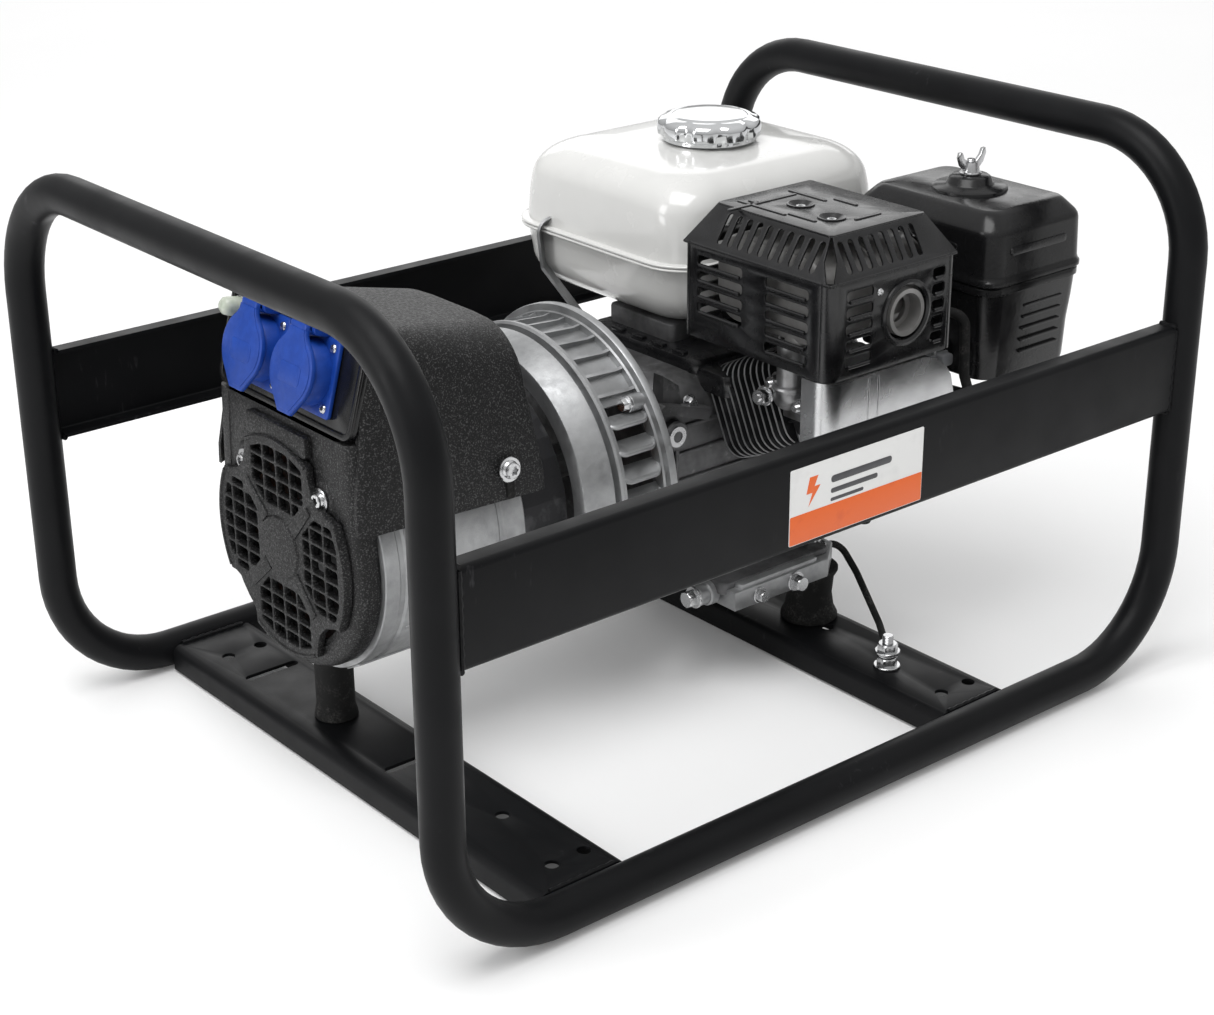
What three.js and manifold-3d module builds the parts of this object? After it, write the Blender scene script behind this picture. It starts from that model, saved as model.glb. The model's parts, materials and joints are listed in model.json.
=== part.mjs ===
// Open-frame portable generator: a bent-tube carrying frame with folded side bars and two pressed
// cross plates, a brushless alternator with two lidded sockets, and a single-cylinder air-cooled
// petrol engine with its tank, muffler guard, air cleaner and recoil starter.
// Millimetres, +Z up, +X towards the engine end, -Y towards the muffler side.
// The origin is the centre of the frame's footprint, on the ground.
import * as THREE from 'three';
import { mergeVertices } from 'three/addons/utils/BufferGeometryUtils.js';
import Module from 'manifold-3d';

const wasm = await Module();
wasm.setup();

// ---------------------------------------------------------------- driving dimensions
const GAP = 0.3; // clearance between touching pieces

const TUBE_R = 13; // 26 mm frame tube
const TUBE_SIDES = 12;
const HALF_X = 315; // upright centre lines
const HALF_Y = 227.5;
const TOP_Z = 381; // centre line of the top bars
const BEND_R = 80; // centre-line radius of every bend

const BAR_LOW = 196; // folded side bars
const BAR_HIGH = 258;
const BAR_FACE_Y = 234;
const BAR_FLANGE = 14;
const SHEET = 2.5;

const PLATE_TOP = 20; // pressed cross plates
const PLATE_LOW = 2;
const PLATE_ALTERNATOR = [-239, -173];
const PLATE_ENGINE = [106, 170];

const AXIS_Y = 45; // common axis of alternator and crankshaft
const AXIS_Z = 158;
const COVER_FRONT = -238; // alternator end cover
const COVER_BACK = -223;
const COVER_R = 84;
const GRILLE_R = 75;
const DRUM_R = 88;
const DRUM_END = -112;
const HOOD_LOW = 190;
const HOOD_END = -100;
const BELL_START = -69;
const BELL_R = 106;

const PANEL_FOOT = [-236, AXIS_Y, 250]; // bottom centre of the socket panel's face
const PANEL_TILT = THREE.MathUtils.degToRad(15.5);
const PANEL_HALF = 77;
const PANEL_HEIGHT = 72;
const PANEL_THICK = 4;
const SOCKET_PITCH = 57;
const SOCKET_HEIGHT = 33;
const SOCKET_HALF = 25;
const WELL_R = 17.5;
const LID_HINGE_UP = 29;
const LID_HINGE_OUT = 12;
const BUTTON_X = -61;
const BUTTON_Y = 52;

const CYLINDER_X = 100; // cylinder centre along the crank axis
const CYLINDER_SLANT = THREE.MathUtils.degToRad(25);
const BASE_Z = 80; // underside of the engine's feet
const CASE_Y = [-22, 112];
const CASE_TOP = 222;
const SHAFT_R = 12;

const GUARD_X = [46, 165]; // muffler guard
const GUARD_Y = [-155, -15];
const GUARD_Z = [255, 347];
const GUARD_SHOULDER = 320;
const GUARD_INSET = 17;
const OUTLET = [117, 289]; // exhaust outlet, X and Z
const EXHAUST_X = 60;
const EXHAUST_Y = -108;

const CLEANER_X = [205, 305]; // air cleaner
const CLEANER_Y = [-150, -15];
const CLEANER_LOW = 214;
const CLEANER_RIM = 283;
const CLEANER_TOP = 333;

const TANK_X = [59, 262]; // fuel tank
const TANK_Y = [0, 193];
const TANK_LOW = 240;
const TANK_SEAM = 290;
const TANK_TOP = 352;
const CAP_XY = [160, 85];

const SHROUD_R = 80; // fan shroud and recoil starter
const SHROUD_X = [150.5, 200];
const RECOIL_R = 72;
const RECOIL_END = 232;
const PULLEY_R = 55;

const MOUNT_X = 147; // engine brackets and their rubber mounts
const BRACKET_Z = [62, 79.7];
const EARTH_STUD = [131, -140];

// ---------------------------------------------------------------- finishes
const finish = (color, roughness, metalness) => ({ color, roughness, metalness });
const LOOKS = {
  frame: finish(0x1b1c1e, 0.45, 0.3),
  rubber: finish(0x141414, 0.85, 0),
  grained: finish(0x242527, 0.7, 0),
  gloss_black: finish(0x0c0c0d, 0.2, 0.1),
  socket: finish(0x1c3fb4, 0.4, 0),
  boot: finish(0xd8dccb, 0.35, 0),
  cast: finish(0x9b9d9f, 0.5, 0.8),
  steel: finish(0x8b8d90, 0.35, 0.9),
  zinc: finish(0xb9bcc0, 0.3, 0.9),
  copper: finish(0xa05a32, 0.4, 0.9),
  fins: finish(0x2b2c2e, 0.5, 0.6),
  tank: finish(0xe6e6e4, 0.2, 0),
  chrome: finish(0xd6d8da, 0.12, 1),
  foam: finish(0x3a3a38, 0.95, 0),
  grey_plastic: finish(0x8f9194, 0.5, 0),
};

// ---------------------------------------------------------------- solids
function signedVolume(points, triangles) {
  const corner = [new THREE.Vector3(), new THREE.Vector3(), new THREE.Vector3()];
  let volume = 0;
  for (let i = 0; i < triangles.length; i += 3) {
    corner.forEach((v, k) => v.fromArray(points, 3 * triangles[i + k]));
    volume += corner[0].dot(corner[1].clone().cross(corner[2])) / 6;
  }
  return volume;
}

// A closed three.js geometry as a solid, with its faces pointing out.
function solid(geometry) {
  const bare = geometry.clone();
  bare.deleteAttribute('normal');
  bare.deleteAttribute('uv');
  const merged = mergeVertices(bare, 1e-3);
  const points = new Float32Array(merged.attributes.position.array);
  const index = merged.index.array;
  const triangles = [];
  for (let i = 0; i < index.length; i += 3) {
    const [a, b, c] = [index[i], index[i + 1], index[i + 2]];
    if (a !== b && b !== c && c !== a) triangles.push(a, b, c);
  }
  if (signedVolume(points, triangles) < 0) triangles.reverse();
  const triVerts = new Uint32Array(triangles);
  return new wasm.Manifold(new wasm.Mesh({ numProp: 3, vertProperties: points, triVerts }));
}

const join = (first, ...rest) => rest.reduce((whole, piece) => whole.add(piece), first);
const cut = (first, ...tools) => tools.reduce((whole, tool) => whole.subtract(tool), first);

function box(x, y, z) {
  const geometry = new THREE.BoxGeometry(x[1] - x[0], y[1] - y[0], z[1] - z[0]);
  geometry.translate((x[0] + x[1]) / 2, (y[0] + y[1]) / 2, (z[0] + z[1]) / 2);
  return solid(geometry);
}

// Right-handed bases that carry a drawing's plane and its extrusion direction into the model.
const X = new THREE.Vector3(1, 0, 0);
const Y = new THREE.Vector3(0, 1, 0);
const Z = new THREE.Vector3(0, 0, 1);
const ALONG_X = new THREE.Matrix4().makeBasis(Y, Z, X); // drawn in Y and Z
const ALONG_Y = new THREE.Matrix4().makeBasis(Z, X, Y); // drawn in Z and X
const ALONG_Z = new THREE.Matrix4();

const outline = (points) => points.map(([a, b]) => new THREE.Vector2(a, b));

// An outline extruded from span[0] to span[1] along one of the bases above.
function extrude(points, span, basis) {
  const shape = new THREE.Shape(outline(points));
  const options = { depth: span[1] - span[0], bevelEnabled: false };
  const geometry = new THREE.ExtrudeGeometry(shape, options);
  geometry.translate(0, 0, span[0]);
  return solid(geometry.applyMatrix4(basis));
}

// Points of an arc, in degrees.
function arc(cx, cy, r, from, to, steps) {
  const points = [];
  for (let i = 0; i <= steps; i++) {
    const a = THREE.MathUtils.degToRad(from + ((to - from) * i) / steps);
    points.push([cx + r * Math.cos(a), cy + r * Math.sin(a)]);
  }
  return points;
}

// A rounded rectangle, counter-clockwise.
function roundedBox(a, b, r, steps = 3) {
  return [
    ...arc(a[1] - r, b[1] - r, r, 0, 90, steps),
    ...arc(a[0] + r, b[1] - r, r, 90, 180, steps),
    ...arc(a[0] + r, b[0] + r, r, 180, 270, steps),
    ...arc(a[1] - r, b[0] + r, r, 270, 360, steps),
  ];
}

const disc = (a, b, r, sides) => arc(a, b, r, 0, 360 - 360 / sides, sides - 1);
const rodX = (r, x, y, z, sides = 24) => extrude(disc(y, z, r, sides), x, ALONG_X);
const rodY = (r, x, y, z, sides = 24) => extrude(disc(z, x, r, sides), y, ALONG_Y);
const rodZ = (r, x, y, z, sides = 24) => extrude(disc(x, y, r, sides), z, ALONG_Z);
const axial = (r, x, sides = 32) => rodX(r, x, AXIS_Y, AXIS_Z, sides);

// A solid of revolution about the crank axis, from a closed outline of [x, radius] points.
function turned(points, sides = 28) {
  const profile = [...points, points[0]].map(([x, r]) => new THREE.Vector2(r, x));
  const geometry = new THREE.LatheGeometry(profile, sides);
  geometry.applyMatrix4(new THREE.Matrix4().makeBasis(Z, X, Y));
  geometry.translate(0, AXIS_Y, AXIS_Z);
  return solid(geometry);
}

// A closed skin through rings that all have the same number of points.
function loft(rings) {
  const count = rings[0].length;
  const points = rings.flat();
  const index = [];
  for (let r = 0; r + 1 < rings.length; r++) {
    for (let i = 0; i < count; i++) {
      const a = r * count + i;
      const b = r * count + ((i + 1) % count);
      index.push(a, b, b + count, a, b + count, a + count);
    }
  }
  for (const last of [0, rings.length - 1]) {
    const ring = rings[last];
    const middle = ring.reduce((sum, p) => sum.clone().add(p), new THREE.Vector3());
    points.push(middle.divideScalar(count));
    for (let i = 0; i < count; i++) {
      const a = last * count + i;
      const b = last * count + ((i + 1) % count);
      index.push(...(last ? [a, b, points.length - 1] : [b, a, points.length - 1]));
    }
  }
  const geometry = new THREE.BufferGeometry().setFromPoints(points);
  geometry.setIndex(index);
  return solid(geometry);
}

// A path of straight runs joined by round bends, with sections only where it turns.
class BentPath extends THREE.Curve {
  constructor(corners, bendRadius, turnSteps) {
    super();
    const points = corners.map((c) => new THREE.Vector3(...c));
    const heading = (i) => points[i + 1].clone().sub(points[i]).normalize();
    this.stations = [{ point: points[0], tangent: heading(0) }];
    for (let i = 1; i + 1 < points.length; i++) {
      const before = heading(i - 1);
      const after = heading(i);
      const turn = before.angleTo(after);
      const side = after.clone().addScaledVector(before, -Math.cos(turn)).normalize();
      const start = points[i].clone().addScaledVector(before, -bendRadius * Math.tan(turn / 2));
      for (let k = 0; k <= turnSteps; k++) {
        const a = (turn * k) / turnSteps;
        const point = start.clone().addScaledVector(before, bendRadius * Math.sin(a));
        point.addScaledVector(side, bendRadius * (1 - Math.cos(a)));
        const tangent = before.clone().multiplyScalar(Math.cos(a));
        this.stations.push({ point, tangent: tangent.addScaledVector(side, Math.sin(a)) });
      }
    }
    this.stations.push({ point: points.at(-1), tangent: heading(points.length - 2) });
  }

  getSpacedPoints() {
    return this.stations.map((s) => s.point);
  }

  getTangentAt(u, target = new THREE.Vector3()) {
    return target.copy(this.stations[Math.round(u * (this.stations.length - 1))].tangent);
  }
}

// A round bar along a bent path. Its section has flats at the bottom and at the sides.
function bentBar(corners, r, bendRadius, sides, turnSteps = 5) {
  const path = new BentPath(corners, bendRadius, turnSteps);
  const section = arc(0, 0, r / Math.cos(Math.PI / sides), 180 / sides, 540 / sides + 360, sides + 1);
  const shape = new THREE.Shape(outline(section.slice(0, sides)));
  const options = { steps: path.stations.length - 1, extrudePath: path };
  return solid(new THREE.ExtrudeGeometry(shape, options));
}

// ---------------------------------------------------------------- scene graph helpers
const generator = new THREE.Group();

function part(name, piece, look, parent = generator) {
  const mesh = piece.getMesh();
  const geometry = new THREE.BufferGeometry();
  const points = new Float32Array(mesh.vertProperties);
  geometry.setAttribute('position', new THREE.BufferAttribute(points, 3));
  geometry.setIndex(Array.from(mesh.triVerts));
  geometry.computeVertexNormals();
  const node = new THREE.Mesh(geometry, new THREE.MeshStandardMaterial(LOOKS[look]));
  node.name = name;
  parent.add(node);
  return node;
}

function placedGroup(origin, right, up, out) {
  const group = new THREE.Group();
  group.position.set(...origin);
  group.quaternion.setFromRotationMatrix(new THREE.Matrix4().makeBasis(right, up, out));
  generator.add(group);
  return group;
}

// ---------------------------------------------------------------- carrying frame
function addFrame() {
  const joint = TUBE_R + BEND_R;
  const tube = (corners) => bentBar(corners, TUBE_R, BEND_R, TUBE_SIDES);
  for (const [name, y] of [['front', -HALF_Y], ['rear', HALF_Y]]) {
    const rail = [
      [-HALF_X, y, joint - GAP / 2],
      [-HALF_X, y, TUBE_R],
      [HALF_X, y, TUBE_R],
      [HALF_X, y, joint - GAP / 2],
    ];
    part(`frame_rail_${name}`, tube(rail), 'frame');
  }
  for (const [name, x] of [['alternator', -HALF_X], ['engine', HALF_X]]) {
    const hoop = [
      [x, -HALF_Y, joint + GAP / 2],
      [x, -HALF_Y, TOP_Z],
      [x, HALF_Y, TOP_Z],
      [x, HALF_Y, joint + GAP / 2],
    ];
    part(`frame_hoop_${name}_end`, tube(hoop), 'frame');
  }
}

// Folded channels between the uprights, their flanges turned inwards.
function addSideBars() {
  const end = HALF_X - TUBE_R - GAP;
  for (const [name, side] of [['front', -1], ['rear', 1]]) {
    const face = side * BAR_FACE_Y;
    const back = face - side * SHEET;
    const lip = face - side * BAR_FLANGE;
    const channel = [
      [face, BAR_LOW],
      [face, BAR_HIGH],
      [lip, BAR_HIGH],
      [lip, BAR_HIGH - SHEET],
      [back, BAR_HIGH - SHEET],
      [back, BAR_LOW + SHEET],
      [lip, BAR_LOW + SHEET],
      [lip, BAR_LOW],
    ];
    part(`side_bar_${name}`, extrude(channel, [-end, end], ALONG_X), 'frame');
  }
}

// Pressed plates across the bottom rails, with their long edges rolled down.
function crossPlate([x0, x1], holes, slots) {
  const roll = 6;
  const section = [
    [PLATE_LOW, x0],
    [PLATE_TOP - roll, x0],
    [PLATE_TOP, x0 + roll],
    [PLATE_TOP, x1 - roll],
    [PLATE_TOP - roll, x1],
    [PLATE_LOW, x1],
    [PLATE_LOW, x1 - SHEET],
    [PLATE_TOP - roll, x1 - SHEET],
    [PLATE_TOP - SHEET, x1 - roll],
    [PLATE_TOP - SHEET, x0 + roll],
    [PLATE_TOP - roll, x0 + SHEET],
    [PLATE_LOW, x0 + SHEET],
  ];
  const reach = HALF_Y - TUBE_R - GAP;
  const holeR = 4.75;
  const slotHalf = 3.5;
  const through = [PLATE_TOP - 8, PLATE_TOP + 4];
  const plate = extrude(section, [-reach, reach], ALONG_Y);
  const tools = holes.map(([x, y]) => rodZ(holeR, x, y, through, 10));
  for (const [x, y, length] of slots) {
    const run = roundedBox([x - length / 2, x + length / 2], [y - slotHalf, y + slotHalf], 3.4, 2);
    tools.push(extrude(run, through, ALONG_Z));
  }
  return cut(plate, ...tools);
}

function addCrossPlates() {
  const alternatorHoles = [[-216, 175], [-189, 176], [-211, -191], [-185, -191], [-199, -126]];
  const alternatorSlots = [[-203, 136, 45], [-200, -34, 45]];
  part('cross_plate_alternator', crossPlate(PLATE_ALTERNATOR, alternatorHoles, alternatorSlots), 'frame');
  const engineHoles = [[131, -192], [157, -193], [144, -68], [131, 192], [157, 193]];
  part('cross_plate_engine', crossPlate(PLATE_ENGINE, engineHoles, []), 'frame');
}

// ---------------------------------------------------------------- alternator
// Outline of the end cover: a round bottom about the axis and sides that close in upwards.
function coverOutline(inset) {
  const top = PANEL_FOOT[2] - 2 - inset;
  const half = PANEL_HALF - inset;
  const bottom = arc(AXIS_Y, AXIS_Z, COVER_R - inset, -180, 0, 14);
  return [...bottom, [AXIS_Y + half, top], [AXIS_Y - half, top]];
}

function addEndCover() {
  const wall = 3;
  const shell = cut(
    extrude(coverOutline(0), [COVER_FRONT, COVER_BACK], ALONG_X),
    extrude(coverOutline(wall), [COVER_FRONT + wall, COVER_BACK + 1], ALONG_X),
    axial(68, [COVER_FRONT - 1, COVER_FRONT + wall + 1], 28),
  );
  part('end_cover', shell, 'grained');
}

// Round cooling grille: a rim, a hub, four arms and rows of slots between them.
function addEndGrille() {
  const depth = [COVER_FRONT - 6, COVER_FRONT - GAP];
  const pitch = 18;
  const slot = [14, 13];
  const reach = 60;
  let grille = axial(GRILLE_R, depth, 32);
  for (let row = -3; row <= 3; row++) {
    for (let column = -3; column <= 3; column++) {
      const y = column * pitch;
      const z = row * pitch;
      const onArm = Math.abs(Math.abs(y) - Math.abs(z)) < 1;
      const outside = Math.hypot(y, z) > reach;
      if (onArm || outside) continue;
      const across = [AXIS_Y + y - slot[0] / 2, AXIS_Y + y + slot[0] / 2];
      const high = [AXIS_Z + z - slot[1] / 2, AXIS_Z + z + slot[1] / 2];
      grille = cut(grille, box([depth[0] - 1, depth[1] + 1], across, high));
    }
  }
  part('end_grille', join(grille, axial(20, [depth[0] - 2, depth[1]], 20)), 'grained');
}

// One cross section of the hood at x, from its foot round the arched top.
function hoodRing(x, halfFoot, halfTop, top, cornerR) {
  const ring = [new THREE.Vector3(x, AXIS_Y + halfFoot, HOOD_LOW)];
  for (const [side, from, to] of [[1, 8, 84], [-1, 96, 172]]) {
    const corner = arc(AXIS_Y + side * (halfTop - cornerR), top - cornerR, cornerR, from, to, 5);
    ring.push(...corner.map(([y, z]) => new THREE.Vector3(x, y, z)));
  }
  ring.push(new THREE.Vector3(x, AXIS_Y - halfFoot, HOOD_LOW));
  return ring;
}

function addHood() {
  const wall = 3;
  const front = COVER_FRONT - 10;
  const outer = loft([hoodRing(front, 86, 76, 322, 16), hoodRing(HOOD_END, 95, 76, 299, 44)]);
  const inner = loft([
    hoodRing(front - 1, 86 - wall, 76 - wall, 322 - wall, 14),
    hoodRing(HOOD_END + 1, 95 - wall, 76 - wall, 299 - wall, 42),
  ]);
  const past = 5; // how far a cutting tool runs past the faces it cuts
  const mouth = [AXIS_Y - 82.5, AXIS_Y + 82.5];
  const below = box([front - past, HOOD_END + past], mouth, [HOOD_LOW - past, HOOD_LOW + past]);
  const nose = box([front - past, COVER_BACK + GAP], [-100, 200], [HOOD_LOW - past, PANEL_FOOT[2] + 1]);
  const lean = new THREE.BoxGeometry(60, 260, 140);
  lean.translate(-30 + PANEL_THICK + GAP, 0, 70 - 8);
  lean.rotateY(PANEL_TILT);
  lean.translate(...PANEL_FOOT);
  part('alternator_hood', cut(outer, inner, below, nose, solid(lean)), 'grained');
}

function addAlternatorCore() {
  const bore = SHAFT_R + GAP;
  const through = [-230, -60];
  const housing = cut(axial(DRUM_R, [COVER_BACK + GAP, DRUM_END], 36), axial(80.5, through, 36));
  part('stator_housing', housing, 'cast');
  part('stator_core', cut(axial(80, [-168, -72], 36), axial(58, through, 36)), 'steel');
  part('rotor', cut(axial(54, [-160, -76], 28), axial(bore, through, 16)), 'copper');
  const carrier = box([-221, -214], [AXIS_Y - 79.5, AXIS_Y + 79.5], [AXIS_Z - 11, AXIS_Z + 11]);
  const bearing = cut(join(carrier, axial(26, [-221, -205], 24)), axial(bore + 0.1, through, 16));
  part('end_bearing', bearing, 'cast');
}

// The flared ring between alternator and engine, with cooling louvres all round.
function addBellHousing() {
  const wall = 5;
  const louvres = 14;
  const shell = turned([
    [BELL_START, 84],
    [BELL_START, 95],
    [-47, 103],
    [-44, BELL_R],
    [-6, BELL_R],
    [-6, BELL_R + 5],
    [-GAP, BELL_R + 5],
    [-GAP, BELL_R - wall],
    [-46, BELL_R - wall],
    [-62, 84],
  ]);
  const tools = [];
  for (let i = 0; i < louvres; i++) {
    const geometry = new THREE.BoxGeometry(30, 20, 14);
    geometry.translate(-25, BELL_R, 0);
    geometry.rotateX((i / louvres) * 2 * Math.PI);
    geometry.translate(0, AXIS_Y, AXIS_Z);
    tools.push(solid(geometry));
  }
  part('bell_housing', cut(shell, ...tools), 'cast');
}

// ---------------------------------------------------------------- socket panel
// Drawn flat: X to the viewer's right, Y up the panel, Z out of its face.
function addSocketPanel() {
  const up = new THREE.Vector3(Math.sin(PANEL_TILT), 0, Math.cos(PANEL_TILT));
  const right = new THREE.Vector3(0, -1, 0);
  const panel = placedGroup(PANEL_FOOT, right, up, right.clone().cross(up));
  const centres = [['left', -SOCKET_PITCH / 2], ['right', SOCKET_PITCH / 2]];
  const thick = [-PANEL_THICK, 0];
  const plate = extrude(roundedBox([-PANEL_HALF, PANEL_HALF], [0, PANEL_HEIGHT], 6), thick, ALONG_Z);
  const holes = centres.map(([, x]) => rodZ(19.6, x, SOCKET_HEIGHT, [-10, 5], 24));
  const buttonHole = rodZ(7, BUTTON_X, BUTTON_Y, [-10, 5], 16);
  part('socket_panel', cut(plate, ...holes, buttonHole), 'gloss_black', panel);
  for (const [name, x] of centres) {
    addSocket(panel, name, x);
    addSocketLid(panel, name, x);
  }
  addBreaker(panel);
}

function addSocket(panel, name, x) {
  const flange = [SOCKET_HEIGHT - SOCKET_HALF, SOCKET_HEIGHT + SOCKET_HALF];
  const square = roundedBox([x - SOCKET_HALF, x + SOCKET_HALF], flange, 3, 2);
  const body = join(
    extrude(square, [GAP, 3.3], ALONG_Z),
    rodZ(19, x, SOCKET_HEIGHT, [-30, 1], 24),
    rodZ(21.5, x, SOCKET_HEIGHT, [3, 15], 24),
    box([x - 9, x + 9], [SOCKET_HEIGHT + 24, SOCKET_HEIGHT + 34], [GAP, 7]),
  );
  const contacts = [-9.5, 9.5].map((dx) => rodZ(2.4, x + dx, SOCKET_HEIGHT, [-31, -25], 8));
  const well = rodZ(WELL_R, x, SOCKET_HEIGHT, [-26, 16], 24);
  part(`socket_${name}`, cut(body, well, ...contacts), 'socket', panel);
}

// Sprung lid: a teardrop plate that hangs from a barrel along its top edge.
function addSocketLid(panel, name, x) {
  const plate = [15.4, 19.4];
  const hinge = SOCKET_HEIGHT + LID_HINGE_UP;
  const lid = join(
    rodZ(23.5, x, SOCKET_HEIGHT, plate, 24),
    box([x - 9, x + 9], [SOCKET_HEIGHT + 18, hinge], plate),
    rodX(4.5, [x - 9, x + 9], hinge, LID_HINGE_OUT, 12),
    box([x - 9, x + 9], [hinge - 4.3, hinge + 2], [LID_HINGE_OUT, plate[1]]),
  );
  part(`socket_lid_${name}`, lid, 'socket', panel);
}

function addBreaker(panel) {
  const bore = rodZ(4.4, BUTTON_X, BUTTON_Y, [-12, 6], 12);
  const behind = [-30, -PANEL_THICK - GAP];
  const caseBox = box([BUTTON_X - 4, BUTTON_X + 13], [BUTTON_Y - 26, BUTTON_Y + 5], behind);
  const bush = rodZ(6.5, BUTTON_X, BUTTON_Y, [-6, 4], 16);
  part('breaker_body', cut(join(caseBox, bush), bore), 'gloss_black', panel);
  const button = join(
    rodZ(4, BUTTON_X, BUTTON_Y, [-7, 14], 12),
    rodZ(6, BUTTON_X, BUTTON_Y, [8, 16], 12),
  );
  part('breaker_button', button, 'boot', panel);
}

// ---------------------------------------------------------------- engine block
function addCrankcase() {
  const feet = box([45, 150], [CASE_Y[0] - 40, CASE_Y[1] + 40], [BASE_Z, BASE_Z + 9]);
  const block = extrude(roundedBox(CASE_Y, [BASE_Z, CASE_TOP], 18), [20, 150], ALONG_X);
  const tankPosts = box([72, 92], [25, 95], [CASE_TOP - 2, TANK_LOW - GAP]);
  const cavity = box([30, 140], [CASE_Y[0] + 8, CASE_Y[1] - 8], [BASE_Z + 12, CASE_TOP - 10]);
  const sideCover = axial(86, [GAP, 22], 36);
  const mouth = new THREE.CylinderGeometry(24, 24, 60, 20);
  mouth.rotateX(Math.PI / 2);
  mouth.translate(0, 0, 60);
  const toCylinder = new THREE.Matrix4().makeBasis(X, cylinderUp(), cylinderOut());
  mouth.applyMatrix4(toCylinder);
  mouth.translate(CYLINDER_X, AXIS_Y, AXIS_Z);
  const bore = axial(SHAFT_R + GAP + 0.2, [-5, 160], 16);
  part('crankcase', cut(join(block, feet, tankPosts, sideCover), cavity, bore, solid(mouth)), 'cast');
}

const cylinderOut = () => new THREE.Vector3(0, -Math.cos(CYLINDER_SLANT), Math.sin(CYLINDER_SLANT));
const cylinderUp = () => new THREE.Vector3(0, Math.sin(CYLINDER_SLANT), Math.cos(CYLINDER_SLANT));

// Drawn along the bore: Z from the crank axis outwards, Y upwards across it.
function addCylinder() {
  const group = placedGroup([CYLINDER_X, AXIS_Y, AXIS_Z], X, cylinderUp(), cylinderOut());
  const start = 84;
  const pitch = 8;
  const finHalf = 35;
  const headZ = [153, 168];
  const pieces = [rodZ(29, 0, 0, [start, headZ[0] + 1], 16)];
  for (let i = 0; i < 9; i++) {
    const z = start + i * pitch;
    const fin = roundedBox([-finHalf, finHalf], [-finHalf, finHalf], 12, 1);
    pieces.push(extrude(fin, [z, z + 2.4], ALONG_Z));
  }
  pieces.push(extrude(roundedBox([-30, 30], [-28, 28], 8, 2), headZ, ALONG_Z));
  const bore = rodZ(23, 0, 0, [start - 1, 144], 20);
  part('cylinder', cut(join(...pieces), bore), 'fins', group);
  part('piston', rodZ(22.2, 0, 0, [112, 140], 20), 'steel', group);
  const cover = extrude(roundedBox([-30, 30], [-27, 27], 8, 2), [headZ[1] + GAP, 188], ALONG_Z);
  const hollow = extrude(roundedBox([-27, 27], [-24, 24], 6, 2), [headZ[1] - 1, 185], ALONG_Z);
  part('valve_cover', cut(cover, hollow), 'cast', group);
  const plug = join(
    rodY(5, -12, [-44, -28 - GAP], 161, 10),
    rodY(9, -12, [-36, -28 - GAP], 161, 6),
  );
  part('spark_plug', plug, 'steel', group);
  const lead = join(
    rodY(8, -12, [-66, -44 - GAP], 161, 12),
    bentBar([[-12, -66, 161], [-12, -74, 150], [8, -74, 120], [34, -62, 84]], 3.5, 6, 8, 3),
  );
  part('ignition_lead', lead, 'rubber', group);
}

function addCrankTrain() {
  const throwR = 24;
  const pin = join(
    axial(SHAFT_R, [-211, 196], 16),
    axial(34, [78, 90], 20),
    axial(34, [110, 122], 20),
    rodX(9, [78, 122], AXIS_Y, AXIS_Z - throwR, 12),
  );
  part('crankshaft', cut(pin, axial(SHAFT_R + 1, [90.2, 109.8], 16)), 'steel');
  const blades = [];
  for (let i = 0; i < 10; i++) {
    const blade = new THREE.BoxGeometry(16, 26, 3);
    blade.translate(178, 56, 0);
    blade.rotateX((i / 10) * 2 * Math.PI);
    blade.translate(0, AXIS_Y, AXIS_Z);
    blades.push(solid(blade));
  }
  const wheel = cut(axial(70, [155, 171], 28), axial(SHAFT_R + GAP, [150, 180], 16));
  part('flywheel_fan', join(wheel, ...blades), 'cast');
}

// ---------------------------------------------------------------- exhaust side
function addExhaust() {
  const flangeX = [EXHAUST_X + 3, CYLINDER_X - 30 - GAP];
  const portZ = 226;
  const pipe = join(
    rodZ(9, EXHAUST_X, EXHAUST_Y, [portZ - 9, 268], 16),
    box(flangeX, [EXHAUST_Y - 13, EXHAUST_Y + 12], [portZ - 13, portZ + 20]),
  );
  part('exhaust_pipe', pipe, 'steel');
  const shell = extrude(roundedBox([-140, -35], [269, 330], 20), [58, 152], ALONG_X);
  const outlet = cut(
    rodY(16, OUTLET[0], [GUARD_Y[0] - 1, -138], OUTLET[1], 20),
    rodY(13, OUTLET[0], [GUARD_Y[0] - 2, -150], OUTLET[1], 20),
  );
  const inlet = rodZ(12, EXHAUST_X + 10, EXHAUST_Y, [268.4, 275], 12);
  part('muffler', join(shell, outlet, inlet), 'steel');
}

// A rectangular ring of the guard at height z, pulled in by inset.
function guardRing(z, inset, wall) {
  const [x0, x1] = [GUARD_X[0] + inset + wall, GUARD_X[1] - inset - wall];
  const [y0, y1] = [GUARD_Y[0] + inset + wall, GUARD_Y[1] - inset - wall];
  return roundedBox([x0, x1], [y0, y1], 5, 1).map(([x, y]) => new THREE.Vector3(x, y, z));
}

function guardBody(wall) {
  return loft([
    guardRing(GUARD_Z[0] - wall, 0, wall),
    guardRing(GUARD_SHOULDER - wall / 2, 0, wall),
    guardRing(GUARD_Z[1] - wall, GUARD_INSET, wall),
  ]);
}

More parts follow.
